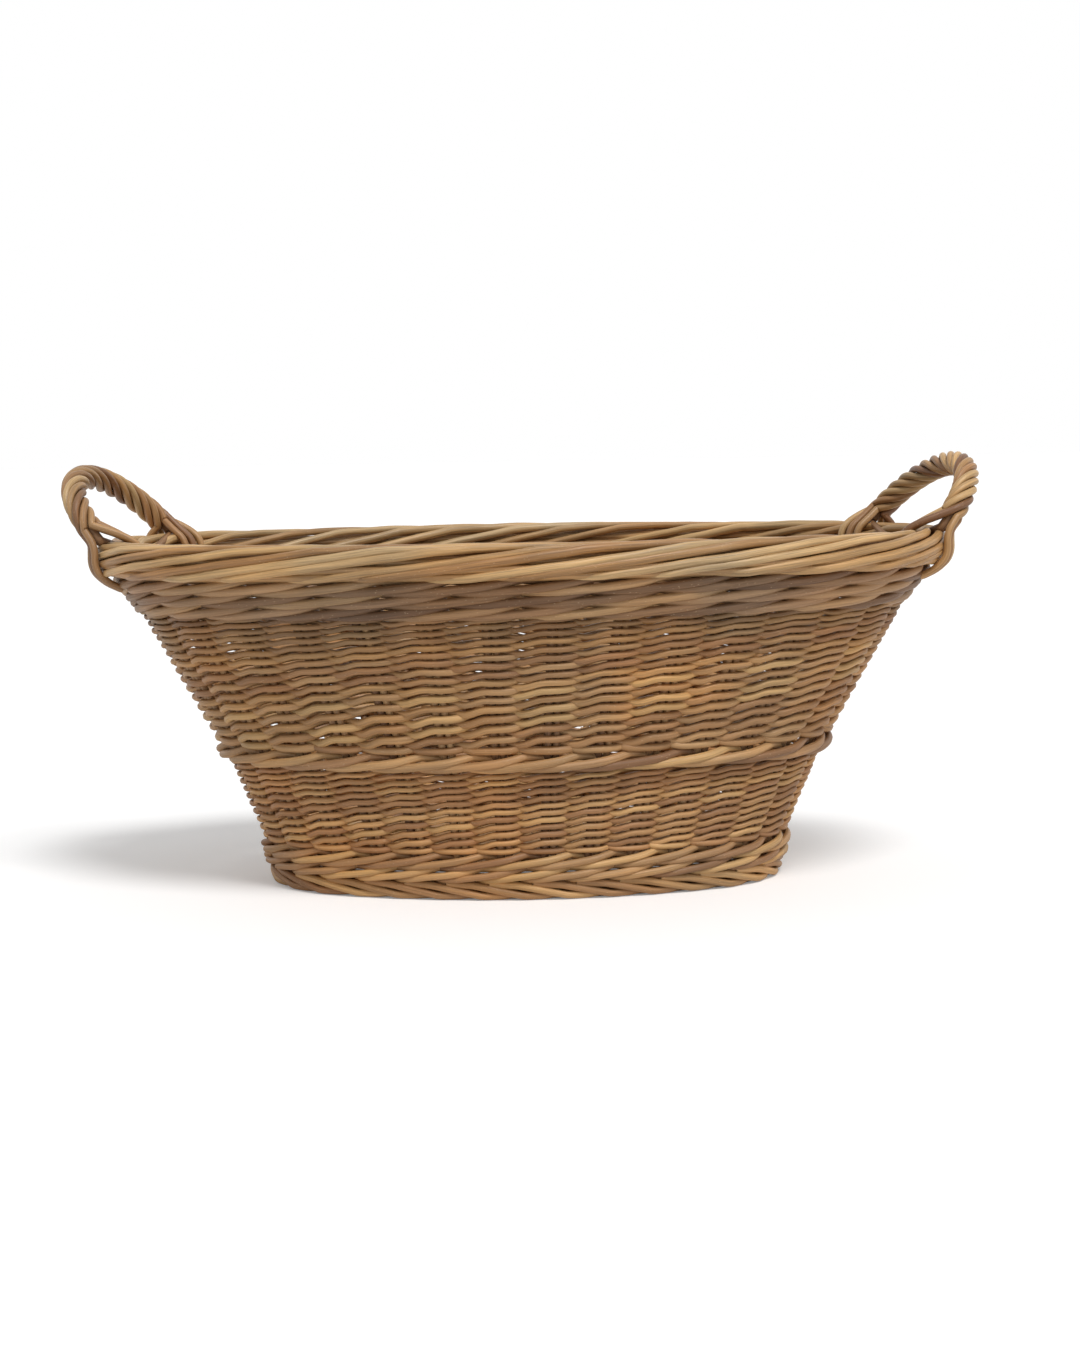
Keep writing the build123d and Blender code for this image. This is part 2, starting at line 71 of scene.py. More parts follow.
@dataclass(frozen=True)
class Oval:
    """An oval of four tangent arcs round the basket's middle.

    Args:
        half_length: Distance from the middle to the tip of an end.
        half_width: Distance from the middle to the middle of a side.
        end_radius: Radius of the end arcs.
    """

    half_length: float
    half_width: float
    end_radius: float

    @cached_property
    def side(self) -> tuple[float, float, float]:
        """Radius of the side arcs, how far their centre lies beyond the middle, and an end arc's angle."""
        end_centre = self.half_length - self.end_radius
        rise = self.half_width - self.end_radius
        radius = (end_centre**2 + self.half_width**2 - self.end_radius**2) / (2 * rise)
        beyond = radius - self.half_width
        return radius, beyond, math.atan2(beyond, end_centre)

    @cached_property
    def quarter(self) -> float:
        """Length of a quarter of the way round."""
        radius, _, end_angle = self.side
        return self.end_radius * end_angle + radius * (math.pi / 2 - end_angle)

    def at(self, turn: float) -> tuple[Vector, Vector]:
        """Finds a point on the oval.

        Args:
            turn: Share of the way round from the +X tip, going by +Y.

        Returns:
            The point and the outward direction there, both with no height.
        """
        side_radius, side_centre, end_angle = self.side
        end_centre = self.half_length - self.end_radius
        end_run = self.end_radius * end_angle
        turn %= 1
        from_tip = min(turn % 0.5, 0.5 - turn % 0.5) * 4 * self.quarter
        if from_tip < end_run:
            angle, radius, centre = from_tip / self.end_radius, self.end_radius, Vector((end_centre, 0, 0))
        else:
            angle = end_angle + (from_tip - end_run) / side_radius
            radius, centre = side_radius, Vector((0, -side_centre, 0))
        outward = Vector((math.cos(angle), math.sin(angle), 0))
        point = centre + outward * radius
        across = -1 if 0.25 < turn < 0.75 else 1
        along = -1 if turn > 0.5 else 1
        flip = Vector((across, along, 1))
        return point * flip, outward * flip


@dataclass(frozen=True)
class BasketShape:
    """The wall's flare and the heights of its bands, as the CAD frame has them.

    Args:
        rim_half_length: Distance from the middle to the rim's tip.
        rim_half_width: Distance from the middle to the rim's side.
        foot_half_length: Distance from the middle to the foot's tip.
        foot_half_width: Distance from the middle to the foot's side.
        end_arc_share: Radius of the end arcs beside the half width.
        wall_thickness: Thickness of the wall.
        border_thickness: Thickness of the rolled border.
        base_thickness: Thickness of the base.
        stake_count: Stakes round the basket.
        flare: Each band with the share of the flare that the wall has reached at its top.
    """

    rim_half_length: float = 362.0 * MM
    rim_half_width: float = 230.0 * MM
    foot_half_length: float = 219.0 * MM
    foot_half_width: float = 136.0 * MM
    end_arc_share: float = 0.82
    wall_thickness: float = 14.0 * MM
    border_thickness: float = 32.0 * MM
    base_thickness: float = 15.0 * MM
    stake_count: int = 32
    flare: tuple[tuple[str, float], ...] = (
        ("foot_border", 0.014),
        ("upsett_wale", 0.045),
        ("lower_siding", 0.238),
        ("upper_siding", 0.735),
        ("top_wale", 0.89),
    )

    @cached_property
    def corners(self) -> list[tuple[float, float]]:
        """Heights and flare shares between which the wall runs straight."""
        return [(0.0, 0.0)] + [(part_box(node)[1].z, share) for node, share in self.flare]

    def flare_at(self, height: float) -> float:
        """Finds the wall's share of the flare at a height.

        Args:
            height: Height above the floor.

        Returns:
            0 at the foot's outline and 1 at the rim's.
        """
        for (low, low_share), (high, high_share) in zip(self.corners, self.corners[1:]):
            if height <= high:
                break
        return low_share + (high_share - low_share) * (height - low) / (high - low)

    def oval(self, share: float, inset: float) -> Oval:
        """The outline at a share of the flare, some way inside."""
        length = self.foot_half_length + (self.rim_half_length - self.foot_half_length) * share
        width = self.foot_half_width + (self.rim_half_width - self.foot_half_width) * share
        return Oval(length - inset, width - inset, width * self.end_arc_share - inset)

    @cached_property
    def rim(self) -> tuple[float, float]:
        """Heights of the border's underside and top."""
        low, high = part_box("rim_border")
        return low.z, high.z

    def wall(self, turn: float, height: float, inset: float) -> tuple[Vector, Vector]:
        """Finds a place in the wall.

        Args:
            turn: Share of the way round.
            height: Height above the floor.
            inset: Depth inside the wall's outer face.

        Returns:
            The point and the direction square to the leaning wall, outwards.
        """
        step = 2 * MM
        point, outward = self.oval(self.flare_at(height), inset).at(turn)
        above = self.oval(self.flare_at(height + step), inset).at(turn)[0]
        slope = (above - point + UP * step).normalized()
        return point + UP * height, (outward - slope * outward.dot(slope)).normalized()

    def ring(self, share: float, turn: float, inset: float, height: float) -> tuple[Vector, Vector]:
        """A place at a stated share of the flare, with the outward direction."""
        point, outward = self.oval(share, inset).at(turn)
        return point + UP * height, outward

    def stake_turn(self, spacings: float) -> float:
        """Share of the way round at a number of stake spacings past the first stake."""
        return (spacings + 0.5) / self.stake_count


# Rods, guides and the tree that gives them thickness


@dataclass
class Guide:
    """One rod's way before it is woven.

    Args:
        points: Places along the rod.
        outs: Directions in which the weave sways it.
        beats: Stake spacings run so far, which the sway counts in.
        widths: The rod's diameter at each place.
        tone: A number from 0 to 1 that picks the rod's colour.
    """

    points: list[Vector] = field(default_factory=list)
    outs: list[Vector] = field(default_factory=list)
    beats: list[float] = field(default_factory=list)
    widths: list[float] = field(default_factory=list)
    tone: float = 0.5

    def add(self, point: Vector, out: Vector, beat: float, width: float) -> None:
        """Adds one place to the rod's way."""
        self.points.append(point)
        self.outs.append(out)
        self.beats.append(beat)
        self.widths.append(width)

    def start_from(self, point: Vector) -> None:
        """Adds a place before the first one, with the values of the first."""
        self.points.insert(0, point)
        for values in (self.outs, self.beats, self.widths):
            values.insert(0, values[0])


def guide_mesh(name: str, guides: Iterable[Guide]) -> bpy.types.Mesh:
    """Lays guides into one mesh of edges that carries what the tree reads.

    Args:
        name: Name of the mesh.
        guides: The rods' ways.

    Returns:
        A mesh with the attributes out, beat, width, tone and run on its points.
    """
    verts, edges, outs, beats, widths, tones, runs = [], [], [], [], [], [], []
    for guide in guides:
        first, run = len(verts), 0.0
        for i, point in enumerate(guide.points):
            if i:
                edges.append((first + i - 1, first + i))
                run += (point - guide.points[i - 1]).length
            verts.append(point)
            runs.append(run)
        outs += guide.outs
        beats += guide.beats
        widths += guide.widths
        tones += [guide.tone] * len(guide.points)
    mesh = bpy.data.meshes.new(name)
    mesh.from_pydata(verts, edges, [])
    attribute = mesh.attributes.new("out", "FLOAT_VECTOR", "POINT")
    attribute.data.foreach_set("vector", [c for out in outs for c in out])
    for label, values in (("beat", beats), ("width", widths), ("tone", tones), ("run", runs)):
        mesh.attributes.new(label, "FLOAT", "POINT").data.foreach_set("value", values)
    return mesh


def open_sockets(tree: bpy.types.NodeTree, inputs: dict[str, str], outputs: dict[str, str]) -> dict[str, str]:
    """Gives a node group its sockets.

    Args:
        tree: The node group.
        inputs: The kinds of its inputs by name.
        outputs: The kinds of its outputs by name.

    Returns:
        The inputs' identifiers by name.
    """
    for name, kind in outputs.items():
        tree.interface.new_socket(name, in_out="OUTPUT", socket_type="NodeSocket" + kind)
    return {
        name: tree.interface.new_socket(name, in_out="INPUT", socket_type="NodeSocket" + kind).identifier
        for name, kind in inputs.items()
    }


class TreeMaker:
    """A short way to write a node tree: each method adds a node and returns its output socket.

    Args:
        tree: The node tree that is built.
    """

    def __init__(self, tree: bpy.types.NodeTree) -> None:
        self.tree = tree

    def node(self, kind: str, settings: dict[str, object] | None = None, **inputs: object) -> bpy.types.Node:
        """Adds a node.

        Args:
            kind: The node's type name.
            settings: Properties of the node itself.
            inputs: Values or sockets by input name, with underscores for spaces.

        Returns:
            The new node.
        """
        new = self.tree.nodes.new(kind)
        for key, value in (settings or {}).items():
            setattr(new, key, value)
        for key, value in inputs.items():
            self.feed(new.inputs[key.replace("_", " ")], value)
        return new

    def feed(self, socket: Socket, value: object) -> None:
        """Links a socket to another's output, or sets its value."""
        if isinstance(value, Socket):
            self.tree.links.new(value, socket)
        else:
            socket.default_value = value

    def math(self, operation: str, *values: object) -> Socket:
        """One sum on numbers."""
        new = self.node("ShaderNodeMath", {"operation": operation})
        for socket, value in zip(new.inputs, values):
            self.feed(socket, value)
        return new.outputs[0]

    def vector(self, operation: str, *values: object) -> Socket:
        """One sum on vectors; a scale takes the vector and the number."""
        new = self.node("ShaderNodeVectorMath", {"operation": operation})
        sockets = (new.inputs["Vector"], new.inputs["Scale"]) if operation == "SCALE" else new.inputs
        for socket, value in zip(sockets, values):
            self.feed(socket, value)
        return new.outputs["Value" if operation == "DOT_PRODUCT" else "Vector"]

    def combine(self, x: object = 0.0, y: object = 0.0, z: object = 0.0) -> Socket:
        """A vector from three numbers."""
        return self.node("ShaderNodeCombineXYZ", X=x, Y=y, Z=z).outputs[0]

    def cloud(self, place: object, scale: float = 1.0, detail: float = 2.0, roughness: float = 0.5) -> Socket:
        """A cloudy number between 0 and 1."""
        inputs = {"Vector": place, "Scale": scale, "Detail": detail, "Roughness": roughness}
        return self.node("ShaderNodeTexNoise", **inputs).outputs["Fac"]

    def ramp(self, factor: object, stops: Iterable[tuple[float, Colour]]) -> Socket:
        """Colours a number by a ramp.

        Args:
            factor: The number, from 0 to 1.
            stops: Places on the ramp with their colours.

        Returns:
            The colour socket.
        """
        new = self.node("ShaderNodeValToRGB", Fac=factor)
        stops = list(stops)
        elements = new.color_ramp.elements
        while len(elements) < len(stops):
            elements.new(0.5)
        for element, (place, colour) in zip(elements, stops):
            element.position = place
            element.color = (*colour, 1.0)
        return new.outputs["Color"]

    def mix(self, factor: object, first: object, second: object) -> Socket:
        """Mixes two colours."""
        new = self.node("ShaderNodeMix", {"data_type": "RGBA"})
        for socket, value in zip((new.inputs[0], new.inputs[6], new.inputs[7]), (factor, first, second)):
            self.feed(socket, value)
        return new.outputs[2]

    def stretch(
        self, value: object, low: float, high: float, to_low: float = 0.0, to_high: float = 1.0
    ) -> Socket:
        """Maps one range of a number onto another, held at its ends."""
        ends = {"From_Min": low, "From_Max": high, "To_Min": to_low, "To_Max": to_high}
        return self.node("ShaderNodeMapRange", Value=value, **ends).outputs[0]


@dataclass(frozen=True)
class Weave:
    """How rods sway round the stakes. Each field is the tree's input of that name.

    Args:
        swing: Greatest way out and in from the guide.
        period: Stake spacings from one front stroke to the next.
        bias: Above zero, the rod stays longer in front than behind.
        flatness: Above one, the rod runs flat over a stake and crosses quickly between stakes.
        unevenness: Greatest chance shift of a place.
        sides: Faces round a rod.
        seed: Seed of the chance shift.
    """

    swing: float = 0.0
    period: float = 2.0
    bias: float = 0.0
    flatness: float = 1.5
    unevenness: float = 0.0
    sides: int = 8
    seed: int = 1


class RodTree:
    """The Geometry Nodes tree that sways guides and makes them rods.

    Attributes:
        INPUTS: Kinds of the tree's inputs by name.
        CHANCE_SCALE: Fineness of the chance shift along a rod.
        SEED_STEP: How far apart two seeds lie in the noise of the chance shift.
    """

    NAME = "Basket_rods_along_guides"
    INPUTS = {
        "Guides": "Geometry",
        "Swing": "Float",
        "Period": "Float",
        "Bias": "Float",
        "Flatness": "Float",
        "Unevenness": "Float",
        "Sides": "Int",
        "Seed": "Int",
        "Material": "Material",
    }
    CHANCE_SCALE = 28.0
    SEED_STEP = 3.7

    def __init__(self) -> None:
        self.tree = bpy.data.node_groups.new(self.NAME, "GeometryNodeTree")
        self.sockets = open_sockets(self.tree, self.INPUTS, {"Rods": "Geometry"})
        self._build()

    def _build(self) -> None:
        """Wires the tree from its named inputs to Set Material."""
        make = TreeMaker(self.tree)
        given = make.node("NodeGroupInput").outputs
        shift = make.vector("ADD", self._sway(make, given), self._chance(make, given))
        swayed = make.node("GeometryNodeSetPosition", Geometry=given["Guides"], Offset=shift)
        curve = make.node("GeometryNodeMeshToCurve", Mesh=swayed.outputs[0]).outputs[0]
        along = self._store(make, curve, "along", "GeometryNodeInputTangent")
        circle = make.node("GeometryNodeCurvePrimitiveCircle", Resolution=given["Sides"], Radius=0.5)
        section = self._store(make, circle.outputs["Curve"], "section", "GeometryNodeInputPosition")
        skin = make.node(
            "GeometryNodeCurveToMesh",
            Curve=along,
            Profile_Curve=section,
            Scale=self._read(make, "width"),
            Fill_Caps=True,
        )
        smooth = make.node("GeometryNodeSetShadeSmooth", Geometry=skin.outputs[0], Shade_Smooth=True)
        whole = make.node("GeometryNodeRealizeInstances", Geometry=smooth.outputs[0]).outputs[0]
        dressed = make.node("GeometryNodeSetMaterial", Geometry=whole, Material=given["Material"])
        make.node("NodeGroupOutput", Rods=dressed.outputs[0])

    def _sway(self, make: TreeMaker, given: bpy.types.NodeOutputs) -> Socket:
        """The shift out in front of a stake and in behind the next.

        Args:
            make: The tree's maker.
            given: The tree's inputs.

        Returns:
            The shift of each place.
        """
        beat = make.math("DIVIDE", self._read(make, "beat"), given["Period"])
        lean = make.math("ADD", make.math("COSINE", make.math("MULTIPLY", beat, math.tau)), given["Bias"])
        wave = make.math("TANH", make.math("MULTIPLY", lean, given["Flatness"]))
        wave = make.math("DIVIDE", wave, make.math("TANH", given["Flatness"]))
        out = self._read(make, "out", "FLOAT_VECTOR")
        return make.vector("SCALE", out, make.math("MULTIPLY", wave, given["Swing"]))

    def _chance(self, make: TreeMaker, given: bpy.types.NodeOutputs) -> Socket:
        """The chance shift that makes a rod uneven.

        Args:
            make: The tree's maker.
            given: The tree's inputs.

        Returns:
            The shift of each place.
        """
        place = make.node("GeometryNodeInputPosition").outputs[0]
        noise = make.node(
            "ShaderNodeTexNoise",
            {"noise_dimensions": "4D"},
            Vector=place,
            W=make.math("MULTIPLY", given["Seed"], self.SEED_STEP),
            Scale=self.CHANCE_SCALE,
            Detail=1.0,
        )
        chance = make.vector("SUBTRACT", noise.outputs["Color"], (0.5, 0.5, 0.5))
        return make.vector("SCALE", chance, make.math("MULTIPLY", given["Unevenness"], 2.0))

    @staticmethod
    def _read(make: TreeMaker, name: str, kind: str = "FLOAT") -> Socket:
        """Reads a guide's attribute."""
        reader = make.node("GeometryNodeInputNamedAttribute", {"data_type": kind}, Name=name)
        return reader.outputs["Attribute"]

    @staticmethod
    def _store(make: TreeMaker, geometry: Socket, name: str, source: str) -> Socket:
        """Stores what a node gives, a vector, on the geometry's points for the finishes to read."""
        settings = {"data_type": "FLOAT_VECTOR", "domain": "POINT"}
        inputs = {"Geometry": geometry, "Name": name, "Value": make.node(source).outputs[0]}
        return make.node("GeometryNodeStoreNamedAttribute", settings, **inputs).outputs[0]

    def grow(
        self, name: str, guides: Iterable[Guide], weave: Weave, material: bpy.types.Material
    ) -> bpy.types.Object:
        """Turns guides into one plain mesh object of rods.

        Args:
            name: Name of the new piece.
            guides: The rods' ways.
            weave: The values of the tree's inputs.
            material: The rods' finish.

        Returns:
            The finished object, with no modifier left on it.
        """
        source = bpy.data.objects.new(name + "_guides", guide_mesh(name + "_guides", guides))
        bpy.context.scene.collection.objects.link(source)
        modifier = source.modifiers.new("Rods", "NODES")
        modifier.node_group = self.tree
        for label, value in {**vars(weave), "material": material}.items():
            modifier[self.sockets[label.capitalize()]] = value
        source.update_tag()
        graph = bpy.context.evaluated_depsgraph_get()
        mesh = bpy.data.meshes.new_from_object(
            source.evaluated_get(graph), preserve_all_data_layers=True, depsgraph=graph
        )
        mesh.name = name
        bpy.data.objects.remove(source)
        piece = bpy.data.objects.new(name, mesh)
        bpy.context.scene.collection.objects.link(piece)
        return piece


# Finishes


@dataclass(frozen=True)
class Willow:
    """The bark finish of one kind of rod.

    Args:
        label: Name of the material.
        slot: The record's material slot; not used.
        stops: Colours that a rod's tone picks from, mostly from dark to light.
        roughness: Roughness of clean bark.
        streaks: Strength of the long streaks, from 0 to 1.
        tip_shade: Brightness of a rod's thin tip beside its butt. The darker tips are partly the tips' own
            browner colour and partly painted shade from the rim above the band.
    """

    label: str
    slot: str
    stops: tuple[Colour, ...]
    roughness: float = 0.5
    streaks: float = 0.5
    tip_shade: float = 1.0


@dataclass(frozen=True)
class Pattern:
    """A cloudy pattern of the bark.

    Args:
        along: Its fineness along the rod.
        across: Its fineness round the rod.
        shade: Two values of the cloud, and the brightness that each gives.
        detail: How many finer clouds lie in it.
        roughness: Strength of the finer clouds.
    """

    along: float
    across: float
    shade: tuple[float, float, float, float]
    detail: float = 2.0
    roughness: float = 0.5


class BarkGroup:
    """The shader group of willow bark: streaks along the rod, pale specks, weathering and cut ends.

    Attributes:
        STREAK: The long dark streaks.
        PATCH: The slow change of brightness along a rod.
        FIBRE: The fine grain.
        TONE_SHIFT: How far a rod's tone slides its patterns along it, so that no two rods are alike.
        STREAK_ROUGHNESS: Two values of the streaks, and the share of the roughness that each gives.
        STREAK_HEIGHT: Share of the streaks in the bark's relief.
        FIBRE_HEIGHT: Share of the fine grain in the relief.
        WEATHER_SCALE: Fineness of the weathering, which goes over all rods alike.
        WEATHER_RANGE: Values of the weathering at which bark is warm and at which it is grey.
        SPECK_FINENESS: Fineness of the specks along the rod and round it.
        SPECK_RANGE: Two distances from a speck's middle, and how far its colour covers the bark there.
    """

    NAME = "Basket_bark"
    INPUTS = {
        "Bark": "Color",
        "Tone": "Float",
        "Run": "Float",
        "Section": "Vector",
        "Cut": "Float",
        "Streaks": "Float",
        "Roughness": "Float",
    }
    OUTPUTS = {"Color": "Color", "Roughness": "Float", "Height": "Float"}
    STREAK = Pattern(22.0, 7.0, (0.35, 0.7, 1.25, 0.55), detail=3.0, roughness=0.6)
    PATCH = Pattern(11.0, 1.2, (0.3, 0.7, 0.82, 1.2))
    FIBRE = Pattern(90.0, 26.0, (0.3, 0.7, 0.93, 1.07))
    TONE_SHIFT = 31.0
    STREAK_ROUGHNESS = (0.3, 0.7, 0.85, 1.2)
    STREAK_HEIGHT = 0.6
    FIBRE_HEIGHT = 0.4
    WEATHER_SCALE = 9.0
    WEATHER_RANGE = (0.38, 0.62)
    WARM_TINT = (1.03, 0.98, 0.89, 1.0)
    GREY_TINT = (0.88, 0.92, 0.97, 1.0)
    SPECK_FINENESS = (170.0, 5.0)
    SPECK_RANGE = (0.16, 0.08, 0.0, 0.55)
    SPECK_COLOUR = (0.62, 0.45, 0.27, 1.0)
    CUT_COLOUR = (0.80, 0.64, 0.40, 1.0)

    def __init__(self) -> None:
        self.tree = bpy.data.node_groups.new(self.NAME, "ShaderNodeTree")
        open_sockets(self.tree, self.INPUTS, self.OUTPUTS)
        self._build()

    def _build(self) -> None:
        """Wires the group."""
        make = TreeMaker(self.tree)
        given = make.node("NodeGroupInput").outputs
        where = make.node("ShaderNodeSeparateXYZ", Vector=given["Section"]).outputs
        run = make.math("ADD", given["Run"], make.math("MULTIPLY", given["Tone"], self.TONE_SHIFT))

        def coordinate(along: float, across: float) -> Socket:
            """A place on the bark, stretched by one number along the rod and one across it."""
            sides = [make.math("MULTIPLY", where[i], across) for i in (0, 1)]
            return make.combine(make.math("MULTIPLY", run, along), *sides)

        def cloud(pattern: Pattern) -> Socket:
            """The cloudy number of a pattern."""
            place = coordinate(pattern.along, pattern.across)
            return make.cloud(place, detail=pattern.detail, roughness=pattern.roughness)

        streak, patch, fibre = cloud(self.STREAK), cloud(self.PATCH), cloud(self.FIBRE)
        dark = make.math("SUBTRACT", make.stretch(streak, *self.STREAK.shade), 1.0)
        shade = make.math("ADD", make.math("MULTIPLY", dark, given["Streaks"]), 1.0)
        shade = make.math("MULTIPLY", shade, make.stretch(patch, *self.PATCH.shade))
        shade = make.math("MULTIPLY", shade, make.stretch(fibre, *self.FIBRE.shade))
        colour = make.vector("SCALE", given["Bark"], shade)
        weather = make.cloud(make.node("ShaderNodeTexCoord").outputs["Object"], self.WEATHER_SCALE)
        tint = make.mix(make.stretch(weather, *self.WEATHER_RANGE), self.WARM_TINT, self.GREY_TINT)
        colour = make.vector("MULTIPLY", colour, tint)
        cell = make.node("ShaderNodeTexVoronoi", Vector=coordinate(*self.SPECK_FINENESS), Scale=1.0)
        speck = make.stretch(cell.outputs["Distance"], *self.SPECK_RANGE)
        colour = make.mix(speck, colour, self.SPECK_COLOUR)
        colour = make.mix(given["Cut"], colour, self.CUT_COLOUR)
        rough = make.math("MULTIPLY", given["Roughness"], make.stretch(streak, *self.STREAK_ROUGHNESS))
        heights = ((streak, self.STREAK_HEIGHT), (fibre, self.FIBRE_HEIGHT))
        height = make.math("ADD", *(make.math("MULTIPLY", *pair) for pair in heights))
        make.node("NodeGroupOutput", Color=colour, Roughness=rough, Height=height)


class Finishes:
    """Makes each willow finish once and hands it out.

    Attributes:
        TAPER: Rod widths between which a thin tip's darkening fades out; that darkening is partly the tip's
            own colour and partly painted shade from the rim above.
        CUT_RANGE: How nearly a face looks along the rod where bark ends and where a cut end starts.
        PLAIN_GRAIN: Fineness of a CAD piece's bark across the piece.
        BUMP: Strength of the bark's relief.
        BUMP_DEPTH: Depth of the relief.
        SHINE: Specular level of bark.
    """

    TAPER = (4.2 * MM, 5.4 * MM)
    CUT_RANGE = (0.75, 0.85)
    PLAIN_GRAIN = 60.0
    BUMP = 0.35
    BUMP_DEPTH = 0.6 * MM
    SHINE = 0.45

    def __init__(self) -> None:
        self.bark = BarkGroup()
        self.made: dict[str, bpy.types.Material] = {}

    def rod(self, willow: Willow) -> bpy.types.Material:
        """The finish of woven rods, which read the attributes that the rods carry.

        Args:
            willow: The kind of rod.

        Returns:
            The material.
        """
        if willow.label not in self.made:
            make = self._start(willow.label)
            facing = make.node("ShaderNodeNewGeometry").outputs["True Normal"]
            end = make.vector("DOT_PRODUCT", facing, self._read(make, "along", "Vector"))
            cut = make.stretch(make.math("ABSOLUTE", end), *self.CUT_RANGE)
            section = self._read(make, "section", "Vector")
            self._finish(make, willow, self._read(make, "tone"), self._read(make, "run"), section, cut)
        return self.made[willow.label]

    def plain(self, willow: Willow) -> bpy.types.Material:
        """The finish of a CAD piece, whose bark runs along the object's own X axis.

        Args:
            willow: The kind of rod.

        Returns:
            The material.
        """
        label = willow.label + "_plain"
        if label not in self.made:
            make = self._start(label)
            place = make.node("ShaderNodeTexCoord").outputs["Object"]
            axes = make.node("ShaderNodeSeparateXYZ", Vector=place).outputs
            section = make.combine(*(make.math("MULTIPLY", axes[i], self.PLAIN_GRAIN) for i in (1, 2)))
            self._finish(make, willow, 0.5, axes[0], section, 0.0)
        return self.made[label]

    def _start(self, label: str) -> TreeMaker:
        """Adds an empty material and returns the maker of its nodes."""
        material = bpy.data.materials.new(label)
        material.use_nodes = True
        material.node_tree.nodes.clear()
        self.made[label] = material
        return TreeMaker(material.node_tree)

    @staticmethod
    def _read(make: TreeMaker, name: str, output: str = "Fac") -> Socket:
        """Reads an attribute of the rods."""
        return make.node("ShaderNodeAttribute", {"attribute_name": name}).outputs[output]

    def _finish(
        self, make: TreeMaker, willow: Willow, tone: object, run: object, section: Socket, cut: object
    ) -> None:
        """Places the bark group and the Principled shader.

        Args:
            make: The material's maker.
            willow: The kind of rod.
            tone: What picks the rod's colour.
            run: Length along the rod.
            section: Place in the rod's cross section.
            cut: 1 on a cut end and 0 on bark.
        """
        places = [i / (len(willow.stops) - 1) for i in range(len(willow.stops))]
        bark = make.ramp(tone, zip(places, willow.stops))
        # Rods darken towards their thin tips at the top of the upper siding, under the rim: partly the tips'
        # own colour, partly painted shade from the rim.
        if willow.tip_shade < 1.0:
            shade = make.stretch(self._read(make, "width"), *self.TAPER, willow.tip_shade, 1.0)
            bark = make.vector("SCALE", bark, shade)
        group = make.node(
            "ShaderNodeGroup",
            {"node_tree": self.bark.tree},
            Bark=bark,
            Tone=tone,
            Run=run,
            Section=section,
            Cut=cut,
            Streaks=willow.streaks,
            Roughness=willow.roughness,
        ).outputs
        bump = make.node(
            "ShaderNodeBump", Strength=self.BUMP, Distance=self.BUMP_DEPTH, Height=group["Height"]
        )
        shader = make.node(
            "ShaderNodeBsdfPrincipled",
            Base_Color=group["Color"],
            Roughness=group["Roughness"],
            Specular_IOR_Level=self.SHINE,
            Normal=bump.outputs[0],
        )
        make.node("ShaderNodeOutputMaterial", Surface=shader.outputs[0])


class Kind(Enum):
    """The kinds of rod in the basket."""

    SIDING = Willow(
        "Siding_willow",
        "willow_siding",
        (
            (0.32, 0.155, 0.062),
            (0.41, 0.215, 0.084),
            (0.47, 0.255, 0.096),
            (0.42, 0.235, 0.103),
            (0.55, 0.325, 0.128),
        ),
        # Tips darken to this share: partly their own colour, partly painted shade under the rim.
        tip_shade=0.6,
    )
    FINE = Willow(
        "Fine_willow",
        "willow_siding",
        ((0.36, 0.170, 0.066), (0.46, 0.235, 0.090), (0.54, 0.290, 0.110), (0.60, 0.340, 0.130)),
    )
    WALE = Willow(
        "Wale_willow",
        "willow_wale",
        ((0.24, 0.115, 0.048), (0.38, 0.200, 0.085), (0.50, 0.280, 0.115), (0.56, 0.330, 0.130)),
    )
    TOP_WALE = Willow(
        "Top_wale_willow",
        "willow_wale",
        ((0.15, 0.075, 0.035), (0.24, 0.130, 0.060), (0.32, 0.180, 0.090), (0.42, 0.250, 0.115)),
    )
    BORDER = Willow(
        "Border_willow",
        "willow_border",
        ((0.34, 0.175, 0.065), (0.44, 0.255, 0.105), (0.52, 0.330, 0.150), (0.58, 0.390, 0.195)),
        roughness=0.42,
        streaks=0.8,
    )
    FOOT = Willow(
        "Foot_willow",
        "willow_foot",
        ((0.28, 0.135, 0.055), (0.44, 0.240, 0.095), (0.58, 0.340, 0.140)),
    )
    STAKE = Willow(
        "Stake_willow",
        "willow_stake",
        ((0.20, 0.100, 0.045), (0.33, 0.180, 0.080), (0.42, 0.250, 0.115)),
    )
    BASE = Willow(
        "Base_willow",
        "willow_base",
        ((0.30, 0.150, 0.065), (0.46, 0.260, 0.110), (0.55, 0.340, 0.155)),
    )
    STICK = Willow("Stick_willow", "willow_stick", ((0.30, 0.160, 0.075), (0.45, 0.270, 0.120)))
    BINDING = Willow("Binding_willow", "willow_binding", ((0.30, 0.155, 0.070), (0.46, 0.270, 0.120)))
    BOW = Willow("Bow_willow", "willow_bow", ((0.20, 0.095, 0.040), (0.30, 0.160, 0.070)))
    HANDLE = Willow(
        "Handle_willow",
        "willow_handle",
        ((0.21, 0.095, 0.038), (0.35, 0.180, 0.072), (0.46, 0.265, 0.110), (0.56, 0.355, 0.160)),
        roughness=0.42,
        streaks=0.7,
    )


# The basket's sub-assemblies


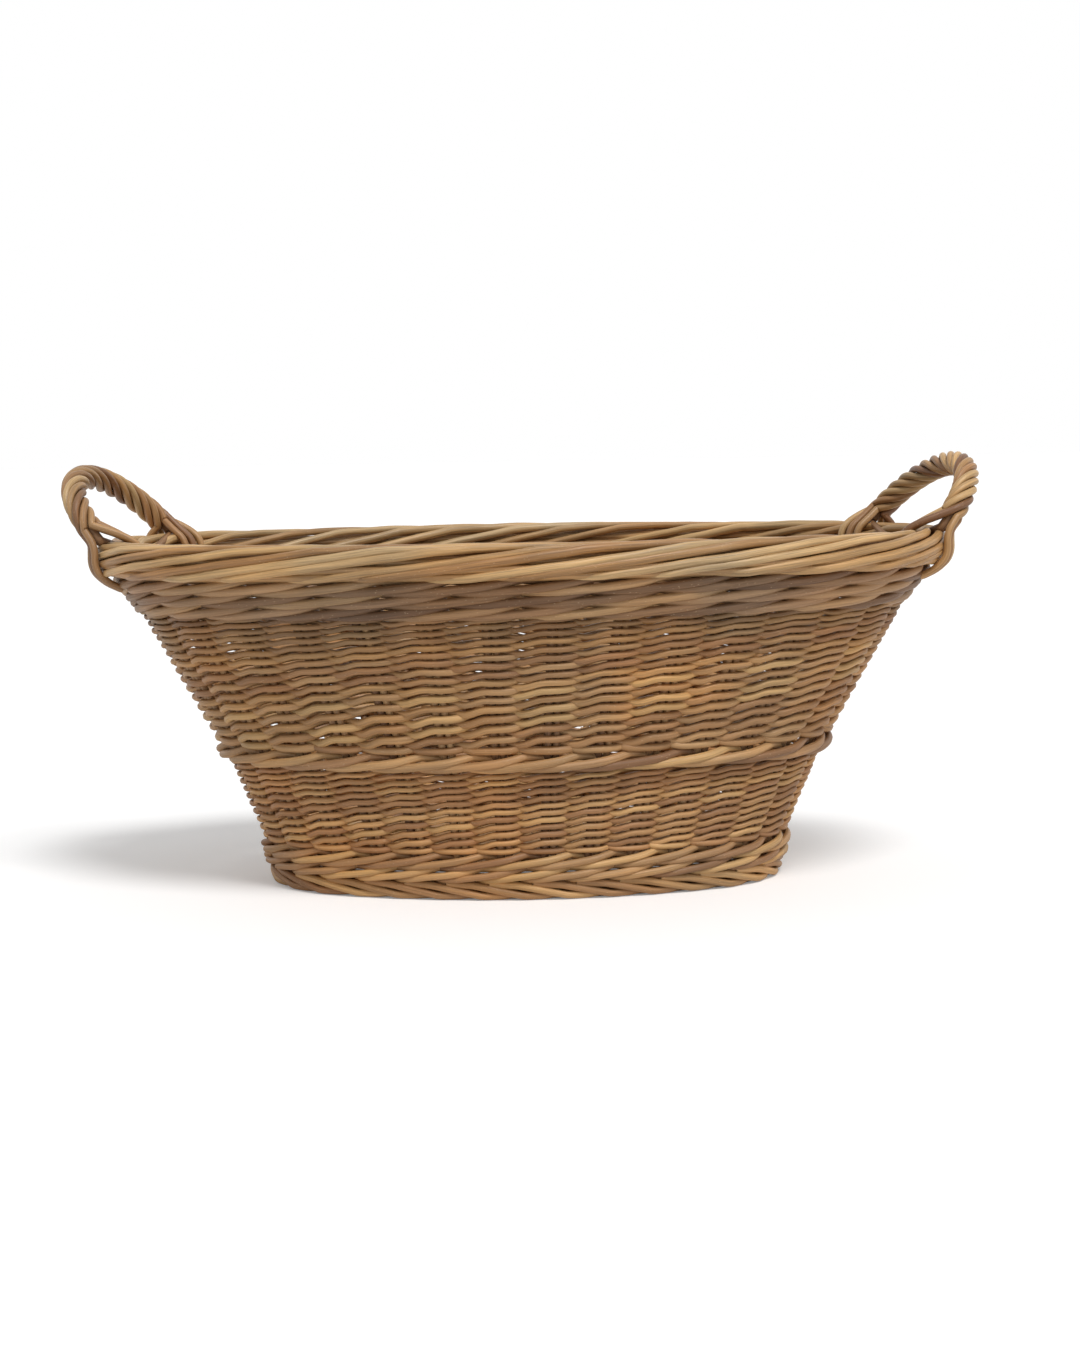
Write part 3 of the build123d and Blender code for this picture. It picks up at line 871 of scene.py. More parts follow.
@dataclass
class SubAssembly:
    """What every part of the basket shares.

    Args:
        shape: The basket's plain shape.
        tree: The tree that makes rods.
        finishes: The willow finishes.

    Attributes:
        RING_POINTS: Places round a rod that runs level all the way round.
        OVERLAP_POINTS: Places by which a ring's rod runs on over its own start, the first one counted.
    """

    RING_POINTS = 96
    OVERLAP_POINTS = 3

    shape: BasketShape
    tree: RodTree
    finishes: Finishes

    def build(self) -> None:
        """Makes the sub-assembly's pieces."""
        raise NotImplementedError

    def lay(
        self, name: str, nodes: Iterable[str], guides: Iterable[Guide], weave: Weave, kind: Kind
    ) -> bpy.types.Object:
        """Makes one piece of rods that stands for CAD nodes.

        Args:
            name: Name of the piece.
            nodes: The CAD nodes that it replaces.
            guides: The rods' ways.
            weave: How the rods sway.
            kind: The kind of willow.

        Returns:
            The finished piece.
        """
        piece = self.tree.grow(name, guides, weave, self.finishes.rod(kind.value))
        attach(piece, BODY)
        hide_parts(*nodes)
        log.info("%s: %d faces", name, len(piece.data.polygons))
        return piece

    def level_rod(self, share: float, inset: float, height: float, width: float, tone: float) -> Guide:
        """A rod that runs level all the way round.

        Args:
            share: Share of the flare.
            inset: Depth inside that outline.
            height: Height above the floor.
            width: Diameter of the rod.
            tone: The rod's tone.

        Returns:
            The rod's way, its ends overlapping a little.
        """
        guide = Guide(tone=tone)
        for n in range(self.RING_POINTS + self.OVERLAP_POINTS):
            point, outward = self.shape.ring(share, n / self.RING_POINTS, inset, height)
            guide.add(point, outward, 0.0, width)
        return guide


@dataclass
class Siding(SubAssembly):
    """A band of randing: one rod to a stake, each in front of one stake and behind the next.

    Args:
        node: The CAD node of the band.
        first_width: Diameter of a rod's butt.
        last_width: Diameter of a rod's tip.
        edge_share: Share of a rod's width between the band's edge and the rod's middle there.
        first_climb: Height that a rod gains in a stake spacing at the bottom.
        last_climb: The same at the top.
        swing: How far a rod sways out and in.
        period: Stake spacings from one front stroke to the next.
        rises: Where a rod climbs in that period: start and length in stake spacings, and the rows climbed.
        lead: Stake spacings by which a stroke comes out early.
        lead_slack: How much the rods differ in it.
        waves: Slow and quick waves of the rows round the basket.
        wave_slip: Share of a wave by which the slow waves shift from the band's foot to its top.
        quick_share: Height of the quick waves beside the slow ones.
        wander: Height of the slow waves.
        spread: How much the rods differ in thickness.
        reach_up: How far the last rods lie behind the band above.
        tuck: Stake spacings that a rod's ends run on level.
        samples: Places to a stake spacing.
        kind: The kind of willow.
        seed: Seed of the rods' tones.
    """

    node: str = "upper_siding"
    first_width: float = 6.8 * MM
    last_width: float = 4.35 * MM
    edge_share: float = 1 / 3
    first_climb: float = 4.7 * MM
    last_climb: float = 2.6 * MM
    swing: float = 4.6 * MM
    period: float = 2.0
    rises: tuple[tuple[float, float, float], ...] = ((0.36, 0.5, 0.64), (1.36, 0.5, 1.36))
    lead: float = 0.14
    lead_slack: float = 0.06
    waves: tuple[int, int] = (3, 7)
    wave_slip: float = 0.7
    quick_share: float = 0.6
    wander: float = 1.6 * MM
    spread: float = 0.1
    reach_up: float = 0.0
    tuck: float = 1.2
    samples: int = 10
    kind: Kind = Kind.SIDING
    seed: int = 11

    def stair(self, beat: float) -> float:
        """Finds the rows climbed: less than one as the rod turns in, and more than one as it comes out.

        Args:
            beat: Stake spacings run so far.

        Returns:
            The rows, one to a stake spacing in the mean.
        """
        step, part = divmod(beat, self.period)
        rows = self.period * step
        for start, length, rise in self.rises:
            share = min(max((part - start) / length, 0.0), 1.0)
            rows += rise * share * share * (3 - 2 * share)
        return rows

    def drift(self, turn: float, share: float) -> float:
        """Finds how far the rows rise or fall, which they don't at the band's edges.

        Args:
            turn: Share of the way round.
            share: Share of the way up the band.

        Returns:
            The rise.
        """
        slow, quick = self.waves
        wave = math.sin(math.tau * (slow * turn + self.wave_slip * share))
        wave += self.quick_share * math.sin(math.tau * (quick * turn - share))
        return wave * self.wander * math.sin(math.pi * share)

    def guides(self) -> list[Guide]:
        """The rods' ways up the band."""
        low, high = (corner.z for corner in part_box(self.node))
        foot = low + self.first_width * self.edge_share
        top = high - self.last_width * self.edge_share + self.reach_up
        run = 2 * round((top - foot) / (self.first_climb + self.last_climb))
        fit = (top - foot) / (run * (self.first_climb + self.last_climb) / 2)
        chance = random.Random(self.seed)
        found = []
        for rod in range(self.shape.stake_count):
            guide = Guide(tone=chance.random())
            stout = chance.uniform(1 - self.spread, 1 + self.spread)
            slack = chance.uniform(-self.lead_slack, self.lead_slack)
            for n in range(int((run + 2 * self.tuck) * self.samples) + 1):
                beat = n / self.samples - self.tuck
                share = min(max(beat, 0.0), run) / run
                climb = self.first_climb + (self.last_climb - self.first_climb) * share / 2
                width = self.first_width + (self.last_width - self.first_width) * share
                rows = min(max(self.stair(beat + slack), 0.0), run)
                turn = self.shape.stake_turn(rod + beat)
                height = foot + rows * climb * fit + self.drift(turn, share)
                point, outward = self.shape.wall(turn, height, self.shape.wall_thickness / 2)
                guide.add(point, outward, beat + self.lead + slack, width * stout)
            found.append(guide)
        return found

    def build(self) -> None:
        """Makes the band."""
        weave = Weave(swing=self.swing, period=self.period, unevenness=1.0 * MM, seed=self.seed)
        self.lay(self.node + "_rods", [self.node], self.guides(), weave, self.kind)


@dataclass
class Wale(SubAssembly):
    """A band of waling: each rod passes in front of all but one of so many stakes as there are rods.

    Args:
        node: The CAD node of the band.
        width: Diameter of a rod.
        lift: Rod widths that a stroke rises in front.
        row_share: Rod widths from one round's strokes to the next's.
        step_share: Share of a round in which a rod steps up to the next one.
        swell: How far the band stands out from the wall.
        reach_down: How far the lowest strokes cover the band below.
        reach_up: How far the highest strokes cover the band above.
        swing: How far a rod sways out and in.
        rods: Rods that work round together.
        bias: How much longer a rod stays in front than behind.
        samples: Places to a stake spacing.
        kind: The kind of willow.
        seed: Seed of the rods' tones.
    """

    node: str = "middle_wale"
    width: float = 7.2 * MM
    lift: float = 1.35
    row_share: float = 1.6
    step_share: float = 1 / 8
    swell: float = 0.0
    reach_down: float = 0.0
    reach_up: float = 0.0
    swing: float = 5.4 * MM
    rods: int = 3
    bias: float = 0.35
    samples: int = 6
    kind: Kind = Kind.WALE
    seed: int = 23

    def stroke(self, beat: float) -> float:
        """Finds how far a rod has risen in its stroke: it rises in front and sinks behind one stake.

        Args:
            beat: Stake spacings run so far.

        Returns:
            0 at the stroke's foot and 1 at its head.
        """
        edge = 1 / (2 * self.rods)
        part = beat / self.rods % 1
        if edge <= part <= 1 - edge:
            return (part - edge) / (1 - 2 * edge)
        return 1 - ((part - 1 + edge) % 1) / (2 * edge)

    def rounds_climbed(self, beat: float, rounds: int) -> float:
        """Finds how many rounds a rod has stepped up.

        Args:
            beat: Stake spacings run so far.
            rounds: Rounds in the band.

        Returns:
            A whole number, apart from where the rod is stepping up.
        """
        sliver = 0.01
        done = min(max(beat / self.shape.stake_count, 0.0), rounds - sliver)
        if done < 1:
            return 0
        return min(int(done) - 1 + min((done % 1) / self.step_share, 1.0), rounds - 1)

    def guides(self) -> list[Guide]:
        """The rods' ways round the band."""
        low, high = (corner.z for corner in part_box(self.node))
        low, high = low - self.reach_down, high + self.reach_up
        rise = self.lift * self.width
        climb = max(high - low - self.width - rise, 0.0)
        rounds = 1 + round(climb / (self.row_share * self.width))
        run = self.shape.stake_count * rounds
        chance = random.Random(self.seed)
        found = []
        for rod in range(self.rods):
            guide = Guide(tone=chance.random())
            for n in range(int((run + 2) * self.samples) + 1):
                beat = n / self.samples - 1
                climbed = climb * self.rounds_climbed(beat, rounds) / max(rounds - 1, 1)
                height = low + self.width / 2 + climbed + rise * self.stroke(beat)
                inset = self.shape.wall_thickness / 2 - self.swell
                point, outward = self.shape.wall(self.shape.stake_turn(rod + beat), height, inset)
                guide.add(point, outward, beat - self.rods / 2, self.width)
            found.append(guide)
        return self.cut_up(found, chance)

    def cut_up(self, long_rods: list[Guide], chance: random.Random) -> list[Guide]:
        """Cuts long ways behind the stakes and gives each stroke its own tone, as rods are joined in often.

        Args:
            long_rods: Ways that run all round.
            chance: Source of the tones.

        Returns:
            The ways of the single rods.
        """
        span = self.rods * self.samples
        found = []
        for guide in long_rods:
            for first in range(self.samples - span, len(guide.points) - 1, span):
                part = slice(max(first, 0), first + span + 1)
                way = [values[part] for values in (guide.points, guide.outs, guide.beats, guide.widths)]
                if len(way[0]) > 1:
                    found.append(Guide(*way, tone=chance.random()))
        return found

    def build(self) -> None:
        """Makes the band."""
        weave = Weave(
            swing=self.swing,
            period=float(self.rods),
            bias=self.bias,
            flatness=1.4,
            unevenness=0.6 * MM,
            sides=10,
            seed=self.seed,
        )
        self.lay(self.node + "_rods", [self.node], self.guides(), weave, self.kind)


def between_keys(keys: Iterable[tuple[float, ...]], beat: float) -> list[float]:
    """Finds values between keys.

    Args:
        keys: Rows that start with a beat, in order, followed by the values there.
        beat: Where the values are wanted.

    Returns:
        The values, which change evenly from one key to the next.
    """
    keys = list(keys)
    for before, after in zip(keys, keys[1:]):
        if beat <= after[0]:
            break
    share = min(max((beat - before[0]) / (after[0] - before[0]), 0.0), 1.0)
    return [a + (b - a) * share for a, b in zip(before[1:], after[1:])]


@dataclass
class FootBorder(SubAssembly):
    """The border that the basket stands on: a rod to a stake, slanting down and turning in under the next.

    Args:
        width: Diameter of a slanting rod's butt.
        taper: Share of it that the rod has lost at its tip.
        core_width: Diameter of a core rod.
        core_places: Inset and height of each core rod, in radii of a slanting rod.
        samples: Places to a stake spacing.
        seed: Seed of the rods' tones.
    """

    width: float = 6.6 * MM
    taper: float = 0.12
    core_width: float = 6.4 * MM
    core_places: tuple[tuple[float, float], ...] = (
        (2.3, 5.2),
        (2.6, 3.2),
        (2.6, 1.1),
        (4.4, 5.3),
        (4.8, 3.3),
        (4.6, 1.2),
        (5.6, 5.0),
    )
    samples: int = 8
    seed: int = 31

    def slant(self) -> tuple[tuple[float, float, float], ...]:
        """Keys of a rod's way from its stake on: beat, height and inset, which follow its radius."""
        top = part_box("foot_border")[1].z
        radius = self.width / 2
        return (
            (-0.35, top - 2.4 * radius, 1.2 * radius),
            (0.3, top - 2.9 * radius, 0.6 * radius),
            (1.45, 1.05 * radius, 0.9 * radius),
            (1.9, 1.02 * radius, 1.6 * radius),
            (2.7, 1.3 * radius, 4.2 * radius),
        )

    def guides(self) -> list[Guide]:
        """The ways of the slanting rods and of the core rods behind them."""
        keys = self.slant()
        first, run = keys[0][0], keys[-1][0] - keys[0][0]
        chance = random.Random(self.seed)
        found = []
        for rod in range(self.shape.stake_count):
            guide = Guide(tone=chance.random())
            for n in range(int(run * self.samples) + 1):
                beat = first + n / self.samples
                height, inset = between_keys(keys, beat)
                share = self.shape.flare_at(height)
                point, outward = self.shape.ring(share, self.shape.stake_turn(rod + beat), inset, height)
                guide.add(point, outward, beat, self.width * (1 - self.taper * n / self.samples / run))
            found.append(guide)
        for place in self.core_places:
            inset, height = (self.width / 2 * radii for radii in place)
            found.append(self.level_rod(0.0, inset, height, self.core_width, chance.random()))
        return found

    def build(self) -> None:
        """Makes the foot's border."""
        weave = Weave(unevenness=0.3 * MM, sides=12, seed=self.seed)
        self.lay("foot_border_rods", ["foot_border"], self.guides(), weave, Kind.FOOT)


@dataclass
class RimBorder(SubAssembly):
    """The rolled rim: each stake turns along the outside, climbs to the top and goes over to the inside.

    Args:
        width: Diameter of a rod.
        keys: A rod's way from its stake on: beat, angle in the border's section and reach.
        slack: Degrees by which a rod may lie off that way.
        stoutness: Least and greatest thickness beside the width.
        start_share: Share of its thickness with which a rod starts.
        full_beat: Where it has its whole thickness.
        core_width: Diameter of a core rod.
        core: Core rods in the middle: their angles, reach, share of the core rods' diameter and
            greatest tone.
        filling: The same for the rods that fill the space between the core and the outside.
        samples: Places to a stake spacing.
        seed: Seed of the rods' tones.
    """

    width: float = 6.8 * MM
    keys: tuple[tuple[float, float, float], ...] = (
        (0.7, -100.0, 0.6),
        (1.4, -54.0, 0.98),
        (5.0, 60.0, 1.0),
        (7.5, 172.0, 1.0),
        (8.1, 205.0, 0.92),
    )
    slack: float = 8.0
    stoutness: tuple[float, float] = (0.84, 1.14)
    start_share: float = 0.55
    full_beat: float = 1.6
    core_width: float = 7.0 * MM
    core: tuple[range, float, float, float] = (range(20, 380, 45), 0.42, 1.0, 0.4)
    filling: tuple[range, float, float, float] = (range(-160, -10, 28), 0.86, 0.9, 0.3)
    samples: int = 8
    seed: int = 41

    def section(self, degrees: float, reach: float) -> tuple[float, float]:
        """Finds a place in the border's cross section, which is a little squarer than a circle.

        Args:
            degrees: Angle from straight out, going up and in.
            reach: Share of the way from the middle to the outermost rods.

        Returns:
            Inset from the rim's outline and height above the border's underside.
        """
        half = self.shape.border_thickness / 2
        angle = math.radians(degrees)
        cosine, sine = math.cos(angle), math.sin(angle)
        fill = max(abs(cosine), abs(sine)) ** -0.5
        radius = (half - self.width / 2) * fill * reach
        return half - radius * cosine, half + radius * sine

    def guides(self) -> list[Guide]:
        """The ways of the border's rods and of the core beneath them."""
        low = self.shape.rim[0]
        first, last = self.keys[0][0], self.keys[-1][0]
        chance = random.Random(self.seed)
        found = []
        for rod in range(self.shape.stake_count):
            guide = Guide(tone=chance.random())
            slack = chance.uniform(-self.slack, self.slack)
            stout = chance.uniform(*self.stoutness)
            for n in range(int((last - first) * self.samples) + 1):
                beat = first + n / self.samples
                degrees, reach = between_keys(self.keys, beat)
                inset, height = self.section(degrees + slack, reach)
                point, outward = self.shape.ring(1.0, self.shape.stake_turn(rod + beat), inset, low + height)
                grown = min((beat - first) / (self.full_beat - first), 1.0)
                share = self.start_share + (1 - self.start_share) * grown
                guide.add(point, outward, beat, self.width * share * stout)
            found.append(guide)
        for angles, reach, share, tone in (self.core, self.filling):
            for degrees in angles:
                inset, height = self.section(degrees, reach)
                width, shade = self.core_width * share, chance.random() * tone
                found.append(self.level_rod(1.0, inset, low + height, width, shade))
        return found

    def build(self) -> None:
        """Makes the rim."""
        weave = Weave(unevenness=1.0 * MM, sides=12, seed=self.seed)
        self.lay("rim_border_rods", ["rim_border"], self.guides(), weave, Kind.BORDER)


class Side(Enum):
    """The four runs of stakes, with the first stake of each."""

    RIGHT = -4
    BACK = 4
    LEFT = 12
    FRONT = 20


@dataclass
class Stakes(SubAssembly):
    """The uprights of one side: a stake and a bye-stake beside each other at every place.

    Args:
        side: The side whose uprights these are.
        stake_width: Diameter of a stake.
        bye_width: Diameter of a bye-stake.
        between: Gap between the two.
        leg: Length of a stake's leg in the base.
        samples: Places to a band of the wall.
        seed: Seed of the rods' tones, counted on from side to side.
    """

    side: Side = Side.FRONT
    stake_width: float = 7.0 * MM
    bye_width: float = 6.0 * MM
    between: float = 0.3 * MM
    leg: float = 42.0 * MM
    samples: int = 5
    seed: int = 51

    def upright(self, number: int, shift: float, width: float, bottom: float, tone: float) -> Guide:
        """The way of one upright.

        Args:
            number: Which stake's place it has.
            shift: How far it stands beside that place.
            width: Its diameter.
            bottom: Height of its foot.
            tone: Its tone.

        Returns:
            The way from foot to border.
        """
        guide = Guide(tone=tone)
        turn = self.shape.stake_turn(number)
        across = self.shape.ring(1.0, turn, 0.0, 0.0)[1].cross(UP)
        levels = [bottom] + [height for height, _ in self.shape.corners[2:]]
        heights = [
            low + (high - low) * n / self.samples
            for low, high in zip(levels, levels[1:])
            for n in range(self.samples)
        ]
        for height in [*heights, levels[-1]]:
            point, outward = self.shape.wall(turn, height, self.shape.wall_thickness / 2)
            guide.add(point + across * shift, outward, 0.0, width)
        return guide

    def build(self) -> None:
        """Makes the stakes and the bye-stakes as two pieces."""
        chance = random.Random(self.seed + self.side.value)
        stake_shift = (self.between + self.bye_width) / 2
        bye_shift = -(self.between + self.stake_width) / 2
        foot_top = self.shape.corners[1][0]
        base_middle = foot_top + self.shape.base_thickness / 2
        base_top = foot_top + self.shape.base_thickness
        stakes, byes = [], []
        for number in range(self.side.value, self.side.value + self.shape.stake_count // len(Side)):
            stake = self.upright(number, stake_shift, self.stake_width, base_middle, chance.random())
            outward = self.shape.ring(0.0, self.shape.stake_turn(number), 0.0, 0.0)[1]
            stake.start_from(stake.points[0] - outward * self.leg)
            stakes.append(stake)
            byes.append(self.upright(number, bye_shift, self.bye_width, base_top, chance.random()))
        weave = Weave(unevenness=0.2 * MM, seed=self.seed)
        for kind, rods in (("stakes", stakes), ("bye_stakes", byes)):
            node = f"{kind}_{self.side.name.lower()}"
            self.lay(node + "_rods", [node], rods, weave, Kind.STAKE)


@dataclass
class Base(SubAssembly):
    """The oval base: thin rods woven over and under the sticks' ends, and the sticks themselves.

    Args:
        width: Diameter of a rod.
        pitch: Distance from one round to the next.
        swing: How far a rod sways up and down.
        stick_ends: Ends of sticks round the base.
        samples: Places from one stick's end to the next.
        seed: Seed of the rods' tones.
    """

    width: float = 5.0 * MM
    pitch: float = 4.0 * MM
    swing: float = 4.0 * MM
    stick_ends: int = 16
    samples: int = 8
    seed: int = 61

    def guides(self) -> list[Guide]:
        """The rods' ways, ring after ring from the slath outwards."""
        low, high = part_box("base_weave")
        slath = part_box("slath_binding")[1]
        middle = (low.z + high.z) / 2
        edge = self.width / 2
        rings = int((high.x - slath.x + high.y - slath.y - self.width) / 2 / self.pitch)
        count = self.stick_ends * self.samples
        chance = random.Random(self.seed)
        found = []
        for ring in range(rings):
            share = (ring + 0.5) / rings
            half_width = slath.y + (high.y - edge - slath.y) * share
            half_length = slath.x + (high.x - edge - slath.x) * share
            oval = Oval(half_length, half_width, half_width * self.shape.end_arc_share)
            guide = Guide(tone=chance.random())
            for n in range(count + self.OVERLAP_POINTS):
                point = oval.at(n / count)[0]
                guide.add(point + UP * middle, UP, n / self.samples + ring, self.width)
            found.append(guide)
        return found

    def build(self) -> None:
        """Makes the woven base and dresses the sticks and their binding."""
        weave = Weave(swing=self.swing, flatness=1.2, unevenness=0.4 * MM, seed=self.seed)
        self.lay("base_weave_rods", ["base_weave"], self.guides(), weave, Kind.BASE)
        for node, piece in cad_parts.items():
            if node.startswith("base_stick") or node == "slath_binding":
                kind = Kind.BINDING if node == "slath_binding" else Kind.STICK
                piece.data.materials.clear()
                piece.data.materials.append(self.finishes.plain(kind.value))


def rounded(points: list[Vector], passes: int = 3) -> list[Vector]:
    """Cuts the corners of a way and keeps its ends.

    Args:
        points: The way's corners.
        passes: How often the corners are cut.

    Returns:
        The smoother way.
    """
    for _ in range(passes):
        cut = [points[0]]
        for before, after in zip(points, points[1:]):
            cut += [before.lerp(after, 0.25), before.lerp(after, 0.75)]
        points = cut + [points[-1]]
    return points


@dataclass
class Handle(SubAssembly):
    """One rope-twisted handle: strands twist round a bow, part over the border and tuck in below it.

    Args:
        sign: 1 for the handle at +X and -1 for the other.
        label: The handle's word in the node names.
        bow_width: Diameter of the bow.
        bow_tail: How far the bow's ends reach below the border's top.
        rise: Height of the bow above the border.
        lean: How far the bow leans out.
        skew: How far the arch's foot is moved in at the back leg and out at the front leg.
        far_places: Stake spacings from the basket's tip to the back leg.
        near_places: The same to the front leg.
        leg_inset: Depth of the legs inside the rim's outline.
        strands: Strands round the bow.
        strand_width: Diameter of a strand.
        twist_radius: Distance from the bow's middle to a strand's.
        turns: Turns that a strand would make from one leg to the other.
        samples: Places along the bow.
        parting: Share of the bow at each leg that the twist leaves free.
        lane: Distance along the border from one strand's crossing to the next.
        clearance: Gap between a strand and what it lies on.
        crest_share: Share of the border's thickness at which an inner strand crosses its top.
        shoulder_share: Share of the strand's seat to which it lies off the border's shoulder.
        inner_shoulder: How far below the border's top an inner strand passes the shoulder.
        outer_shoulder: The same for an outer strand.
        waist: Height above the border's underside at which a strand lies close to its side.
        underside_inset: Depth at which an outer strand slips under the border.
        tuck_share: Share of the strand's seat to which an outer strand lies off the wall.
        tuck_drop: How far below the border a strand ends.
        seed: Seed of the strands' tones.
    """

    sign: int = 1
    label: str = "right"
    bow_width: float = 8.6 * MM
    bow_tail: float = 60.0 * MM
    rise: float = 52.0 * MM
    lean: float = 42.0 * MM
    skew: float = 5.0 * MM
    far_places: int = 2
    near_places: int = 1
    leg_inset: float = 8.0 * MM
    strands: int = 6
    strand_width: float = 6.2 * MM
    twist_radius: float = 7.6 * MM
    turns: float = 20 / 7
    samples: int = 96
    parting: float = 1 / 16
    lane: float = 9.5 * MM
    clearance: float = 0.6 * MM
    crest_share: float = 0.72
    shoulder_share: float = 0.8
    inner_shoulder: float = 6.0 * MM
    outer_shoulder: float = 4.0 * MM
    waist: float = 9.0 * MM
    underside_inset: float = 7.0 * MM
    tuck_share: float = 0.6
    tuck_drop: float = 8.0 * MM
    seed: int = 71

    def leg_turn(self, front: bool) -> float:
        """Share of the way round at which a leg stands."""
        share = (self.near_places if front else self.far_places) / self.shape.stake_count
        share = share if self.sign > 0 else 0.5 - share
        return -share if front else share

    def arch(self, share: float) -> Vector:
        """Finds a point on the bow's middle line.

        Args:
            share: 0 at the back leg and 1 at the front leg.

        Returns:
            The point.
        """
        shape, top = self.shape, self.shape.rim[1]
        turns = (self.far_places / shape.stake_count, -self.near_places / shape.stake_count)
        back, front = (shape.ring(1.0, turn, self.leg_inset, top)[0] for turn in turns)
        angle = math.pi * share
        foot = back.lerp(front, (1 - math.cos(angle)) / 2)
        x = foot.x + self.lean * math.sin(angle) - self.skew * math.cos(angle)
        return Vector((self.sign * x, foot.y, foot.z + self.rise * math.sin(angle)))

    def arch_normal(self) -> Vector:
        """Direction square to the arch, up and in."""
        return Vector((-self.sign * self.rise, 0.0, self.lean)).normalized()

    def bow_guide(self) -> Guide:
        """The bow's way: up out of the wall, over the arch and down into the wall."""
        guide = Guide()
        normal = self.arch_normal()
        points = [self.arch(n / self.samples) for n in range(self.samples + 1)]
        levels = (self.shape.corners[-1][0], self.shape.rim[1] - self.bow_tail)
        for front in (False, True):
            for level in levels:
                points.append(self.shape.wall(self.leg_turn(front), level, self.shape.wall_thickness / 2)[0])
            points.reverse()
        for point in points:
            guide.add(point, normal, 0.0, self.bow_width)
        return guide

    def twist_frame(self, share: float) -> tuple[Vector, Vector, Vector]:
        """Finds the bow's place and cross directions.

        Args:
            share: 0 at the back leg and 1 at the front leg.

        Returns:
            The point, the direction up and in, and the direction sideways.
        """
        sliver = 1e-3
        along = (self.arch(share + sliver) - self.arch(share - sliver)).normalized()
        normal = self.arch_normal()
        first = (normal - along * normal.dot(along)).normalized()
        return self.arch(share), first, along.cross(first)

    def twist_angle(self, number: int, share: float) -> float:
        """Angle of a strand round the bow."""
        return math.tau * (self.turns * (share - self.parting) + number / self.strands)

    def tail(self, number: int, front: bool) -> list[Vector]:
        """A strand's way over the border at one leg.

        Args:
            number: Which strand.
            front: True for the front leg.

        Returns:
            Points from the twist's end to the tuck.
        """
        shape = self.shape
        low, high = shape.rim
        share = 1 - self.parting if front else self.parting
        angle = self.twist_angle(number, share)
        turn = self.leg_turn(front)
        sideways = shape.ring(1.0, turn, 0.0, 0.0)[1].cross(UP)
        hand = math.copysign(1, self.twist_frame(share)[2].dot(sideways))
        lane = round(math.sin(angle)) * self.lane * hand
        seat = self.strand_width / 2 + self.clearance
        tuck = low - self.tuck_drop
        if math.cos(angle) > 0:
            ways = (
                (1.0, shape.border_thickness * self.crest_share, high + seat),
                (1.0, shape.border_thickness + seat * self.shoulder_share, high - self.inner_shoulder),
                (1.0, shape.border_thickness + seat, low + self.waist),
                (shape.flare_at(tuck), shape.wall_thickness + seat, tuck),
            )
        else:
            ways = (
                (1.0, -seat * self.shoulder_share, high - self.outer_shoulder),
                (1.0, -seat, low + self.waist),
                (1.0, self.underside_inset, low - seat * self.tuck_share),
                (shape.flare_at(tuck), -seat * self.tuck_share, tuck),
            )
        found = []
        for flare, inset, height in ways:
            oval = shape.oval(flare, inset)
            found.append(oval.at(turn - lane / (4 * oval.quarter))[0] + UP * height)
        return found

    def strand_guide(self, number: int, tone: float) -> Guide:
        """A strand's whole way, rounded where it parts from the twist.

        Args:
            number: Which strand.
            tone: Its tone.

        Returns:
            The way.
        """
        points = []
        count = round(self.samples * (1 - 2 * self.parting))
        for n in range(count + 1):
            share = self.parting + (1 - 2 * self.parting) * n / count
            here, first, second = self.twist_frame(share)
            angle = self.twist_angle(number, share)
            points.append(here + (first * math.cos(angle) + second * math.sin(angle)) * self.twist_radius)
        for front in (True, False):
            points += rounded([points[-1], *self.tail(number, front)])[1:]
            points.reverse()
        guide = Guide(tone=tone)
        for point in points:
            guide.add(point, UP, 0.0, self.strand_width)
        return guide

    def build(self) -> None:
        """Makes the bow and each strand as pieces of their own."""
        chance = random.Random(self.seed)
        weave = Weave(sides=12, seed=self.seed)
        node = f"{self.label}_handle_bow"
        self.lay(node + "_rod", [node], [self.bow_guide()], weave, Kind.BOW)
        for number in range(self.strands):
            node = f"{self.label}_handle_strand_{number + 1}"
            self.lay(node + "_rod", [node], [self.strand_guide(number, chance.random())], weave, Kind.HANDLE)


# The studio


